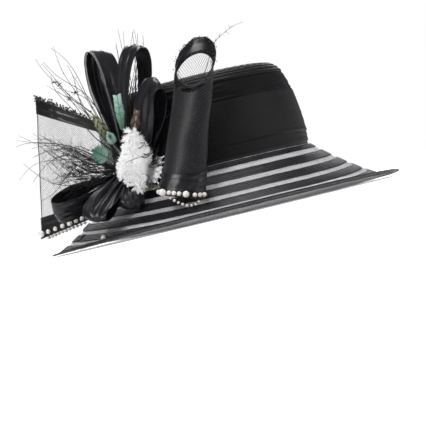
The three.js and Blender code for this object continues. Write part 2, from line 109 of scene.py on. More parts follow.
def rounded(line: Array) -> Array:
    """Returns an open line with its corners cut round."""
    for _ in range(3):
        line = np.concatenate([line[:1], halved(line, 0.25)[1:-1], line[-1:]])
    return line


def bearings(facets: int, extra: int = 0) -> Array:
    """Returns the bearings of the facets round the hat."""
    return np.arange(facets + extra) * TAU / facets - math.pi


def rumple(
    u: Array, v: Array, rng: np.random.Generator, lengths: tuple[float, float], count: int = 6
) -> Array:
    """Returns a soft, uneven wave over a cloth.

    Args:
        u: place along the cloth.
        v: place across the cloth.
        rng: the source of the waves' sizes and phases.
        lengths: usual wavelength along and across.
        count: number of waves that are added up.

    Returns:
        Heights of about -1.5 to 1.5.
    """
    total = np.zeros(np.broadcast(u, v).shape)
    for _ in range(count):
        turn_u = TAU / lengths[0] * rng.uniform(0.5, 1.6) * rng.choice([-1, 1])
        turn_v = TAU / lengths[1] * rng.uniform(0.5, 1.6)
        total = total + np.sin(turn_u * u + turn_v * v + rng.uniform(0, TAU))
    return total / math.sqrt(count)


class Held(Enum):
    """The ways in which a cloth of this hat is held."""

    GATHERED = "gathered"
    FOLDED = "folded"
    STRETCHED = "stretched"
    LAID = "laid"


@dataclass(frozen=True)
class Cut:
    """The flat cloth that a sheet was cut from, in millimetres."""

    width: float
    length: float
    held: Held
    rests_on: tuple[str, ...]
    area: float | None = None


def path_places(paths: Array) -> Array:
    """Returns cloth places that run from 0 to 1 along each path."""
    return joined(np.linspace(0, 1, paths.shape[1])[None], np.zeros((len(paths), 1)))


class Mould:
    """Gathers corners, faces, cloth places, tones and finishes for one mesh."""

    def __init__(self) -> None:
        """Starts an empty mould."""
        self.points: list[Array] = []
        self.tones: list[Array] = []
        self.faces: list[tuple[Array, Array, int]] = []
        self.count = 0

    def cells(self, points: Array, tone: Array | float = 0.5) -> Array:
        """Adds a grid of corners.

        Args:
            points: places in the row's frame, in millimetres.
            tone: shade of each corner, 0 to 1.

        Returns:
            The corners' numbers, in the grid's own shape.
        """
        shape = points.shape[:-1]
        numbers = self.count + np.arange(math.prod(shape)).reshape(shape)
        self.points.append(points.reshape(-1, 3))
        self.tones.append(np.broadcast_to(np.asarray(tone, float), shape).reshape(-1))
        self.count += numbers.size
        return numbers

    def grid(self, index: Array, uv: Array, finish: int = 0, flip: bool = False) -> None:
        """Adds the quads of a grid of corner numbers.

        Args:
            index: corner numbers in rows and columns.
            uv: cloth place of each corner of the grid.
            finish: number of the finish.
            flip: whether the faces are turned over.
        """
        quad = np.stack([index[:-1, :-1], index[1:, :-1], index[1:, 1:], index[:-1, 1:]], -1).reshape(-1, 4)
        spots = np.stack([uv[:-1, :-1], uv[1:, :-1], uv[1:, 1:], uv[:-1, 1:]], -2).reshape(-1, 4, 2)
        if flip:
            quad, spots = quad[:, ::-1], spots[:, ::-1]
        self.faces.append((quad, spots, finish))

    def strip(self, first: Array, second: Array, uv: Array, finish: int, flip: bool) -> None:
        """Joins two rows of corners that share their cloth places."""
        self.grid(np.stack([first, second], 1), np.stack([uv, uv], 1), finish, flip)

    def lid(self, loop: Array, finish: int = 0, flip: bool = False) -> None:
        """Closes a loop of corners with one face."""
        loop = loop[::-1] if flip else loop
        self.faces.append((loop[None], np.zeros((1, len(loop), 2)), finish))

    def sheet(
        self, middle: Array, uv: Array, thick: float, wrap: bool = False,
        tone: Array | float = 0.5, finish: int = 0,
    ) -> None:
        """Adds a closed sheet of cloth round a grid of middle points.

        Args:
            middle: middle points in rows and columns; a wrapped grid repeats no row.
            uv: cloth place of each point, with one more row where the grid wraps.
            thick: thickness of the cloth.
            wrap: whether the last row joins the first.
            tone: shade of each point.
            finish: number of the finish.
        """
        if wrap:
            padded = np.concatenate([middle[-1:], middle, middle[:1]])
            down = padded[2:] - padded[:-2]
        else:
            down = np.gradient(middle, axis=0)
        normal = unit(np.cross(down, np.gradient(middle, axis=1)))
        top = self.cells(middle + normal * (thick / 2), tone)
        low = self.cells(middle - normal * (thick / 2), tone)
        if wrap:
            top, low = ring(top), ring(low)
        self.grid(top, uv, finish)
        self.grid(low, uv, finish, flip=True)
        self.strip(top[:, 0], low[:, 0], uv[:, 0], finish, True)
        self.strip(top[:, -1], low[:, -1], uv[:, -1], finish, False)
        if not wrap:
            self.strip(top[0], low[0], uv[0], finish, False)
            self.strip(top[-1], low[-1], uv[-1], finish, True)

    def section(
        self, middle: Array, ways: Array, uv: Array, tone: Array | float = 0.5, finish: int = 0,
        closed: bool = False,
    ) -> None:
        """Adds closed rods from their cross-sections.

        Args:
            middle: points along each rod, as rods, steps, 3.
            ways: offsets of each section's corners, as rods, steps, sides, 3.
            uv: cloth place of each step, as rods, steps, 2.
            tone: shade of each step.
            finish: number of the finish.
            closed: whether each rod joins its own start.
        """
        sides = ways.shape[2]
        index = self.cells(middle[:, :, None] + ways, np.asarray(tone, float)[..., None])
        index = np.concatenate([index, index[:, :, :1]], 2)
        spots = np.repeat(uv[:, :, None], sides + 1, 2)
        if closed:
            index, spots = (np.concatenate([part, part[:, :1]], 1) for part in (index, spots))
        quad = np.stack([index[:, :-1, :-1], index[:, :-1, 1:], index[:, 1:, 1:], index[:, 1:, :-1]], -1)
        spot = np.stack([spots[:, :-1, :-1], spots[:, :-1, 1:], spots[:, 1:, 1:], spots[:, 1:, :-1]], -2)
        self.faces.append((quad.reshape(-1, 4), spot.reshape(-1, 4, 2), finish))
        if not closed:
            near, far = index[:, 0, :-1][:, ::-1], index[:, -1, :-1]
            self.faces.append((near, np.repeat(uv[:, :1], sides, 1), finish))
            self.faces.append((far, np.repeat(uv[:, -1:], sides, 1), finish))

    def rods(
        self, paths: Array, radii: Array | float, sides: int, tone: Array | float = 0.5, finish: int = 0,
        closed: bool = False,
    ) -> None:
        """Adds round rods, such as threads, stems and strands.

        Args:
            paths: points along each rod, as rods, steps, 3.
            radii: radius of each rod at each step.
            sides: number of sides.
            tone: shade of each step.
            finish: number of the finish.
            closed: whether each rod joins its own start.
        """
        if closed:
            wide = np.concatenate([paths[:, -1:], paths, paths[:, :1]], 1)
            along = unit(wide[:, 2:] - wide[:, :-2])
        else:
            along = unit(np.gradient(paths, axis=1))
        mean = unit(along.mean(1) + 1e-6)
        helper = np.where(np.abs(mean[:, 2:3]) > 0.7, [[1.0, 0.0, 0.0]], [[0.0, 0.0, 1.0]])[:, None]
        side = unit(np.cross(along, np.broadcast_to(helper, along.shape)))
        rise = np.cross(side, along)
        turn = np.arange(sides) * TAU / sides
        size = np.broadcast_to(np.asarray(radii, float), paths.shape[:2])[..., None, None]
        ways = size * (side[:, :, None] * np.cos(turn)[:, None] + rise[:, :, None] * np.sin(turn)[:, None])
        self.section(paths, ways, path_places(paths), tone, finish, closed)

    def blades(self, paths: Array, widths: Array, face: Array, uv: Array, tone: Array, lift: float) -> None:
        """Adds thin ridged blades, such as a feather's barbs.

        Args:
            paths: points along each blade, as blades, steps, 3.
            widths: width at each step.
            face: the way that the blades' ridges look.
            uv: place on the feather of each step.
            tone: shade of each step.
            lift: height of the ridge as a share of the width.
        """
        along = unit(np.gradient(paths, axis=1))
        side = unit(np.cross(along, np.broadcast_to(face, along.shape)))
        rise = np.cross(side, along)
        size = np.broadcast_to(widths, paths.shape[:2])[..., None]
        ways = np.stack([side * size / 2, rise * size * lift, -side * size / 2], 2)
        self.section(paths, ways[:, :, ::-1], uv, tone)

    def ball(
        self, centre: Array, radius: float, axis: Array, dimple: float, rings: int, sides: int,
        squash: float = 0.97,
    ) -> None:
        """Adds a drilled pearl or bead.

        Args:
            centre: its middle.
            radius: its radius.
            axis: the way that its drill hole runs.
            dimple: depth of the drill hole's mouth, as a share of the radius.
            rings: rings of faces between the mouths.
            sides: faces round it.
            squash: its length along the hole, as a share of its width.
        """
        way = unit(np.asarray(axis, float))
        side = unit(np.cross(way, [0.31, 0.2, 0.93]))
        rise = np.cross(way, side)
        polar = np.linspace(0.03, math.pi - 0.03, rings)
        mouth = 1 - dimple * (np.exp(-((polar / 0.2) ** 2)) + np.exp(-(((math.pi - polar) / 0.2) ** 2)))
        turn = np.arange(sides) * TAU / sides
        round_it = side * np.cos(turn)[:, None] + rise * np.sin(turn)[:, None]
        path = centre - way * (radius * squash * mouth * np.cos(polar))[:, None]
        ways = (radius * mouth * np.sin(polar))[:, None, None] * round_it[None]
        uv = np.stack([polar / math.pi, np.zeros(rings)], -1)[None]
        self.section(path[None], ways[None], uv)

    def build(self, name: str, finishes: Sequence[bpy.types.Material]) -> bpy.types.Object:
        """Makes the mesh object.

        Args:
            name: the piece's name.
            finishes: its materials, in order.

        Returns:
            The new object, linked to the scene.
        """
        mesh = bpy.data.meshes.new(name)
        loops: list[list[int]] = []
        for quad, _, _ in self.faces:
            loops.extend(quad.tolist())
        mesh.from_pydata((np.concatenate(self.points) * MM).tolist(), [], loops)
        spots = np.concatenate([spot.reshape(-1, 2) for _, spot, _ in self.faces])
        mesh.uv_layers.new(name="cloth").data.foreach_set("uv", spots.astype(np.float32).ravel())
        shade = mesh.attributes.new("tone", "FLOAT", "POINT")
        shade.data.foreach_set("value", np.concatenate(self.tones).astype(np.float32))
        numbers = np.concatenate([np.full(len(quad), finish) for quad, _, finish in self.faces])
        mesh.polygons.foreach_set("material_index", numbers.astype(np.int32))
        mesh.polygons.foreach_set("use_smooth", np.ones(len(numbers), bool))
        for finish in finishes:
            mesh.materials.append(finish)
        mesh.set_sharp_from_angle(angle=CRISP_ANGLE)
        mesh.update()
        piece = bpy.data.objects.new(name, mesh)
        bpy.context.scene.collection.objects.link(piece)
        return piece


def set_piece(
    mould: Mould, name: str, finishes: Sequence[bpy.types.Material], nodes: Sequence[str] = (),
) -> bpy.types.Object:
    """Makes a piece, seats it on the hat and hides the frame's nodes that it replaces.

    Args:
        mould: the piece's mesh.
        name: the piece's name.
        finishes: its materials, in order.
        nodes: the frame's nodes that it replaces.

    Returns:
        The finished piece.
    """
    piece = mould.build(name, finishes)
    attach(piece, "root")
    if nodes:
        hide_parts(*nodes)
    LOG.info("%s: %d faces", name, len(piece.data.polygons))
    return piece


class Paint:
    """Builds one material from nodes. Cloth places are in millimetres."""

    def __init__(self, name: str) -> None:
        """Starts a material with a plain shader."""
        self.material = bpy.data.materials.new(name)
        self.material.use_nodes = True
        self.tree = self.material.node_tree
        self.tree.nodes.clear()
        self.shader = self.node("BsdfPrincipled")
        out = self.node("OutputMaterial")
        self.link(self.shader.outputs["BSDF"], out.inputs["Surface"])
        self.spot = self.node("UVMap")
        self.spot.uv_map = "cloth"
        split = self.node("SeparateXYZ")
        self.link(self.spot.outputs["UV"], split.inputs[0])
        self.u, self.v = split.outputs[0], split.outputs[1]

    def node(self, kind: str) -> bpy.types.Node:
        """Returns a new node of a kind."""
        return self.tree.nodes.new("ShaderNode" + kind)

    def link(self, output: bpy.types.NodeSocket, socket: bpy.types.NodeSocket) -> None:
        """Links an output to an input."""
        self.tree.links.new(output, socket)

    def fill(self, sockets: Sequence[bpy.types.NodeSocket], values: Sequence[object]) -> None:
        """Sets or links inputs in order; a colour of three parts is made solid."""
        for socket, value in zip(sockets, values):
            if isinstance(value, bpy.types.NodeSocket):
                self.link(value, socket)
            elif isinstance(value, tuple) and socket.type == "RGBA":
                socket.default_value = (*value, 1.0)
            else:
                socket.default_value = value

    def constant(self, **values: float | tuple[float, ...]) -> None:
        """Sets the shader's own sockets; an underscore stands for a space."""
        for name, value in values.items():
            self.shader.inputs[name.replace("_", " ")].default_value = value

    def math(self, operation: str, *values: object) -> bpy.types.NodeSocket:
        """Returns the result of a sum on numbers or sockets."""
        node = self.node("Math")
        node.operation = operation
        self.fill(node.inputs, values)
        return node.outputs[0]

    def rib(self, place: bpy.types.NodeSocket, pitch: float, phase: float = 0.0) -> bpy.types.NodeSocket:
        """Returns a wave of 0 to 1 that repeats every pitch."""
        turn = self.math("MULTIPLY_ADD", place, TAU / pitch, phase)
        return self.math("MULTIPLY_ADD", self.math("SINE", turn), 0.5, 0.5)

    def slant(self, degrees: float) -> bpy.types.NodeSocket:
        """Returns the place across lines that run at an angle over the cloth."""
        turn = math.radians(degrees)
        part = self.math("MULTIPLY", self.u, math.cos(turn))
        return self.math("MULTIPLY_ADD", self.v, math.sin(turn), part)

    def thread(
        self, place: bpy.types.NodeSocket, pitch: float, half_cover: bpy.types.NodeSocket
    ) -> bpy.types.NodeSocket:
        """Returns 1 on threads of a weave and 0 between them, with soft sides."""
        part = self.math("FRACT", self.math("MULTIPLY", place, 1 / pitch))
        off = self.math("ABSOLUTE", self.math("SUBTRACT", part, 0.5))
        return self.span(self.math("SUBTRACT", half_cover, off), -0.04, 0.04, 0.0, 1.0)

    def span(
        self, value: bpy.types.NodeSocket, low: float, high: float, to_low: float, to_high: float
    ) -> bpy.types.NodeSocket:
        """Returns a value carried from one range to another and held inside it."""
        node = self.node("MapRange")
        self.fill(node.inputs, (value, low, high, to_low, to_high))
        return node.outputs[0]

    def cloud(
        self, size: float, detail: float = 2.0, stretch: tuple[float, float] | None = None
    ) -> bpy.types.NodeSocket:
        """Returns soft noise.

        Args:
            size: its usual patch in millimetres.
            detail: number of finer layers.
            stretch: how much longer the patches are along and across the cloth; if left out, they
                lie by place in space.

        Returns:
            A value of about 0.3 to 0.7.
        """
        node = self.node("TexNoise")
        if stretch:
            scaled = self.node("VectorMath")
            scaled.operation = "MULTIPLY"
            self.fill(scaled.inputs, (self.spot.outputs["UV"], (1 / stretch[0], 1 / stretch[1], 0.0)))
            self.link(scaled.outputs[0], node.inputs["Vector"])
            node.inputs["Scale"].default_value = 1 / size
        else:
            spot = self.node("TexCoord")
            self.link(spot.outputs["Object"], node.inputs["Vector"])
            node.inputs["Scale"].default_value = 1000 / size
        node.inputs["Detail"].default_value = detail
        return node.outputs["Fac"]

    def tone(self) -> bpy.types.NodeSocket:
        """Returns the shade that the mesh holds at each corner."""
        node = self.node("Attribute")
        node.attribute_name = "tone"
        return node.outputs["Fac"]

    def ramp(
        self, value: bpy.types.NodeSocket, stops: Sequence[tuple[float, Colour]]
    ) -> bpy.types.NodeSocket:
        """Returns the colour of a value between named stops."""
        node = self.node("ValToRGB")
        while len(node.color_ramp.elements) < len(stops):
            node.color_ramp.elements.new(0.5)
        for element, (place, colour) in zip(node.color_ramp.elements, stops):
            element.position = place
            element.color = (*colour, 1.0)
        self.link(value, node.inputs[0])
        return node.outputs[0]

    def blend(self, share: object, low: object, high: object, way: str = "MIX") -> bpy.types.NodeSocket:
        """Returns two colours mixed by a share."""
        node = self.node("Mix")
        node.data_type = "RGBA"
        node.blend_type = way
        node.clamp_factor = True
        self.fill([node.inputs[number] for number in (0, 6, 7)], (share, low, high))
        return node.outputs[2]

    def bump(self, height: bpy.types.NodeSocket, depth: float) -> None:
        """Raises the surface by a height of 0 to 1 times a depth in millimetres, over any bump so far."""
        node = self.node("Bump")
        node.inputs["Strength"].default_value = 1.0
        node.inputs["Distance"].default_value = depth * MM
        self.link(height, node.inputs["Height"])
        before = self.shader.inputs["Normal"].links
        if before:
            self.link(before[0].from_socket, node.inputs["Normal"])
        self.link(node.outputs[0], self.shader.inputs["Normal"])

    def lead(self, name: str, value: bpy.types.NodeSocket) -> None:
        """Links a value to one of the shader's sockets."""
        self.link(value, self.shader.inputs[name])


@dataclass(frozen=True)
class Satin:
    """Woven satin: fine warp lines, a soft lilac sheen and slight rubs."""

    name: str
    dark: Colour
    light: Colour
    roughness: float = 0.36
    sheen: float = 0.08
    sheen_tint: Colour = (0.75, 0.72, 1.0)
    specular: float = 0.24
    warp: float = 0.42
    warp_depth: float = 0.035
    rib: float = 0.0
    rib_depth: float = 0.0
    across: bool = False
    crumple: float = 0.0

    def material(self) -> bpy.types.Material:
        """Returns the satin's material."""
        paint = Paint(self.name)
        long, wide = (paint.v, paint.u) if self.across else (paint.u, paint.v)
        stretch = (1.0, 14.0) if self.across else (14.0, 1.0)
        streak = paint.cloud(1.3, 3.0, stretch)
        patch = paint.cloud(26.0, 2.0)
        warp = paint.rib(wide, self.warp)
        weft = paint.rib(long, self.warp * 1.3)
        share = paint.math("MULTIPLY_ADD", streak, 0.9, paint.math("MULTIPLY_ADD", warp, 0.16, -0.1))
        share = paint.math("ADD", share, paint.math("MULTIPLY_ADD", patch, 0.5, -0.3))
        paint.lead("Base Color", paint.ramp(share, [(0.2, self.dark), (0.85, self.light)]))
        wear = paint.math("ADD", streak, patch)
        paint.lead("Roughness", paint.span(wear, 0.7, 1.3, self.roughness - 0.07, self.roughness + 0.09))
        paint.constant(Specular_IOR_Level=self.specular, Sheen_Weight=self.sheen)
        paint.constant(Sheen_Roughness=0.35, Sheen_Tint=(*self.sheen_tint, 1.0))
        if self.crumple:
            paint.bump(paint.cloud(15.0, 1.0), self.crumple)
        if self.rib:
            paint.bump(paint.rib(wide, self.rib), self.rib_depth)
        paint.bump(paint.math("MULTIPLY_ADD", weft, 0.35, warp), self.warp_depth)
        paint.bump(streak, self.warp_depth * 2)
        return paint.material


@dataclass(frozen=True)
class OpenWeave:
    """Sheer crinoline: threads that cross on the slant, with the air between them left open, painted lighter
    where they cross as a painted glint.

    The mesh's tone leads from the open cover, at 0, to the dense one, at 1.
    """

    name: str
    thread: Colour
    grain_and_glint: Colour
    pitch: float
    open_cover: float
    dense_cover: float
    film: float
    angle: float = 38.0
    roughness: float = 0.42
    specular: float = 0.4

    def material(self) -> bpy.types.Material:
        """Returns the weave's material."""
        paint = Paint(self.name)
        drift = paint.math("MULTIPLY", paint.cloud(16.0, 2.0), self.pitch * 1.2)
        half = paint.span(paint.tone(), 0.0, 1.0, self.open_cover / 2, self.dense_cover / 2)
        first = paint.thread(paint.math("ADD", paint.slant(self.angle), drift), self.pitch, half)
        second = paint.thread(paint.math("SUBTRACT", paint.slant(-self.angle), drift), self.pitch, half)
        over = paint.math("MAXIMUM", first, second)
        cross = paint.math("MULTIPLY", first, second)
        paint.lead("Alpha", paint.span(over, 0.0, 1.0, self.film, 1.0))
        grain = paint.cloud(1.1, 2.0)
        # The threads are painted lighter where they cross, a painted glint, over a random grain that also
        # shifts their colour.
        share = paint.math("MULTIPLY_ADD", cross, 0.4, paint.math("MULTIPLY_ADD", grain, 1.0, -0.2))
        paint.lead("Base Color", paint.ramp(share, [(0.1, self.thread), (0.8, self.grain_and_glint)]))
        paint.lead("Roughness", paint.span(grain, 0.3, 0.7, self.roughness - 0.08, self.roughness + 0.1))
        paint.constant(Specular_IOR_Level=self.specular, Sheen_Weight=0.1, Sheen_Roughness=0.4)
        paint.bump(paint.math("ADD", over, cross), 0.12)
        return paint.material


@dataclass(frozen=True)
class Plumage:
    """A dyed feather: colour by place along and across the vane, darkened by each barb's tone, which is
    random and, towards the barbs' roots, painted shade.
    """

    name: str
    root: Colour
    middle: Colour
    tip: Colour
    heart: Colour
    heart_reach: float
    bars: float = 0.0
    bar_colour: Colour = (0.03, 0.03, 0.02)
    roughness: float = 0.6
    glow: float = 0.2
    shade: float = 0.35
    eye: bool = False

    def material(self) -> bpy.types.Material:
        """Returns the feather's material."""
        paint = Paint(self.name)
        speck = paint.cloud(2.2, 3.0)
        along = paint.math("MULTIPLY_ADD", speck, 0.3, paint.math("ADD", paint.u, -0.15))
        colour = paint.ramp(along, [(0.0, self.root), (0.5, self.middle), (1.0, self.tip)])
        reach = paint.math("ABSOLUTE", paint.v)
        if self.eye:
            back = paint.math("MULTIPLY_ADD", paint.u, 1.7, -0.95)
            square = paint.math("MULTIPLY_ADD", back, back, paint.math("MULTIPLY", reach, reach))
            reach = paint.math("SQRT", square)
        near = paint.span(reach, self.heart_reach * 0.3, self.heart_reach, 1.0, 0.0)
        colour = paint.blend(near, colour, self.heart)
        if self.bars:
            lean = paint.math("MULTIPLY_ADD", paint.math("ABSOLUTE", paint.v), 0.25, paint.u)
            wave = paint.rib(paint.math("MULTIPLY_ADD", speck, 0.3, lean), self.bars)
            colour = paint.blend(paint.span(wave, 0.45, 0.8, 0.0, 0.9), colour, self.bar_colour)
        shades = [(0.0, (self.shade,) * 3), (0.5, (0.92, 0.92, 0.92)), (1.0, (1.0, 1.0, 1.0))]
        shade = paint.ramp(paint.tone(), shades)
        paint.lead("Base Color", paint.blend(1.0, colour, shade, "MULTIPLY"))
        paint.lead("Roughness", paint.span(speck, 0.3, 0.7, self.roughness - 0.1, self.roughness + 0.1))
        paint.constant(Specular_IOR_Level=0.3, Sheen_Weight=self.glow, Sheen_Roughness=0.5)
        paint.bump(paint.cloud(0.5, 1.0), 0.05)
        return paint.material


@dataclass(frozen=True)
class Nacre:
    """A lustrous bead: a clear coat over a layered cream body with a faint blush."""

    name: str
    cream: Colour
    blush: Colour

    def material(self) -> bpy.types.Material:
        """Returns the pearl's material."""
        paint = Paint(self.name)
        paint.lead("Base Color", paint.ramp(paint.cloud(2.4, 2.0), [(0.35, self.blush), (0.6, self.cream)]))
        paint.lead("Roughness", paint.span(paint.cloud(0.8, 2.0), 0.3, 0.7, 0.16, 0.28))
        paint.constant(Specular_IOR_Level=0.55, Coat_Weight=0.7, Coat_Roughness=0.06, Sheen_Weight=0.15)
        paint.constant(Subsurface_Weight=0.15, Subsurface_Scale=0.001)
        paint.bump(paint.cloud(1.4, 1.0), 0.02)
        return paint.material


@dataclass(frozen=True)
class Backdrop:
    """The plain pale paper under and behind the hat, which glows of itself, more strongly away from the
    middle.
    """

    name: str
    pale: Colour
    glow_near: float = 0.3
    glow_far: float = 1.0
    spill: float = 0.12
    reach: tuple[float, float] = (0.22, 1.0)

    def material(self) -> bpy.types.Material:
        """Returns the paper's material."""
        paint = Paint(self.name)
        spot = paint.node("TexCoord")
        size = paint.node("VectorMath")
        size.operation = "LENGTH"
        paint.link(spot.outputs["Object"], size.inputs[0])
        # The paper's own glow; rays other than the camera's see only the spill share of it.
        glow = paint.span(size.outputs["Value"], *self.reach, self.glow_near, self.glow_far)
        seen = paint.node("LightPath").outputs["Is Camera Ray"]
        shown = paint.span(seen, 0.0, 1.0, self.spill, 1.0)
        paint.lead("Emission Strength", paint.math("MULTIPLY", glow, shown))
        paint.constant(Emission_Color=(1.0, 1.0, 1.0, 1.0))
        near = tuple(value * 0.985 for value in self.pale)
        paint.lead("Base Color", paint.ramp(paint.cloud(400.0, 1.0), [(0.3, near), (0.7, self.pale)]))
        paint.constant(Roughness=0.95, Specular_IOR_Level=0.0)
        return paint.material


class Wardrobe:
    """Every finish of the hat, made once."""

    def __init__(self) -> None:
        """Makes the materials."""
        # The darkest black is painted shade: a darker copy of the band's satin for the crown's upper band and
        # braid.
        black, soft, painted_shade_black = (0.005, 0.0048, 0.0058), (0.014, 0.0135, 0.016), (0.003, 0.003, 0.0035)
        self.crown = Satin("crown_satin", black, soft, 0.5, 0.1, warp=0.5).material()
        self.lining = Satin("lining_satin", (0.012, 0.012, 0.014), (0.03, 0.03, 0.034), 0.5, 0.2).material()
        self.sweatband = Satin(
            "sweatband_grosgrain", (0.008, 0.008, 0.009), (0.02, 0.02, 0.022), 0.6, 0.3,
            rib=1.3, rib_depth=0.3, across=True,
        ).material()
        self.band = Satin(
            "band_satin", black, (0.011, 0.0108, 0.012), 0.5, 0.025,
            specular=0.13, warp=0.55, warp_depth=0.05,
        ).material()
        # The upper band's darker black is painted shade on the top of the crown.
        self.upper_band = Satin(
            "upper_band_satin", painted_shade_black, (0.008, 0.0078, 0.009), 0.5, 0.012,
            specular=0.08, warp=0.55, warp_depth=0.05,
        ).material()
        # The braid's darker black is painted shade too.
        self.braid = Satin(
            "braid_satin", painted_shade_black, (0.01, 0.0098, 0.011), 0.42, 0.015, specular=0.11, rib=1.1, rib_depth=0.1
        ).material()
        self.ribbon = Satin(
            "brim_ribbon_satin", (0.004, 0.004, 0.005), (0.015, 0.0148, 0.018), 0.34, 0.04,
            (0.65, 0.62, 1.0), rib=0.95, rib_depth=0.1,
        ).material()
        self.satin = Satin(
            "trim_ribbon_satin", (0.0035, 0.0033, 0.0042), (0.014, 0.0132, 0.0175), 0.31, 0.05,
            (0.66, 0.6, 1.0), specular=0.32, warp_depth=0.012, crumple=0.5,
        ).material()
        self.sheer = OpenWeave(
            "brim_crinoline", (0.56, 0.56, 0.58), (0.84, 0.84, 0.86), 1.15, 0.26, 0.26, 0.07, specular=0.5
        ).material()
        self.edge = OpenWeave(
            "edge_crinoline", (0.16, 0.16, 0.17), (0.42, 0.42, 0.44), 0.8, 0.3, 0.3, 0.14, specular=0.5
        ).material()
        self.fine_mesh = OpenWeave(
            "loop_net", (0.03, 0.03, 0.033), (0.14, 0.14, 0.15), 1.5, 0.035, 0.06, 0.004
        ).material()
        self.dense_mesh = OpenWeave(
            "loop_crinoline", (0.003, 0.003, 0.0036), (0.019, 0.0186, 0.0215), 1.7, 0.05, 0.6, 0.03,
            roughness=0.38, specular=0.2,
        ).material()
        self.mint = Plumage(
            "mint_plume", (0.07, 0.15, 0.1), (0.2, 0.38, 0.3), (0.48, 0.68, 0.59), (0.12, 0.22, 0.17), 0.09
        ).material()
        self.dotted = Plumage(
            "mint_dotted_plume", (0.3, 0.46, 0.38), (0.38, 0.6, 0.5), (0.42, 0.64, 0.54),
            (0.015, 0.03, 0.024), 0.5, eye=True,
        ).material()
        self.teal = Plumage(
            "teal_plume", (0.36, 0.52, 0.45), (0.16, 0.36, 0.28), (0.035, 0.11, 0.065),
            (0.07, 0.17, 0.12), 0.09,
        ).material()
        self.barred = Plumage(
            "barred_plume", (0.07, 0.08, 0.03), (0.27, 0.3, 0.17), (0.36, 0.43, 0.28),
            (0.5, 0.52, 0.42), 0.08, bars=0.21,
        ).material()
        self.brown = Plumage(
            "brown_plume", (0.05, 0.03, 0.02), (0.12, 0.075, 0.05), (0.16, 0.105, 0.075),
            (0.5, 0.45, 0.4), 0.14, bars=0.3, bar_colour=(0.06, 0.035, 0.025),
        ).material()
        self.white = Plumage(
            "white_plume", (0.84, 0.835, 0.83), (0.88, 0.88, 0.875), (0.9, 0.9, 0.9),
            (0.87, 0.87, 0.87), 0.05, roughness=0.75, glow=0.25, shade=0.5,
        ).material()
        self.black = Plumage(
            "black_plume", (0.008, 0.008, 0.008), (0.011, 0.011, 0.012), (0.02, 0.02, 0.021),
            (0.01, 0.01, 0.01), 0.05, roughness=0.45, glow=0.15,
        ).material()
        self.pearl = Nacre("pearl_nacre", (0.72, 0.7, 0.67), (0.58, 0.55, 0.52)).material()
        self.grey_pearl = Nacre("grey_pearl_nacre", (0.42, 0.41, 0.4), (0.3, 0.29, 0.28)).material()
        self.thread = Plumage(
            "pale_thread", (0.5, 0.5, 0.5), (0.6, 0.6, 0.6), (0.5, 0.5, 0.5), (0.5, 0.5, 0.5), 0.05, glow=0.1
        ).material()


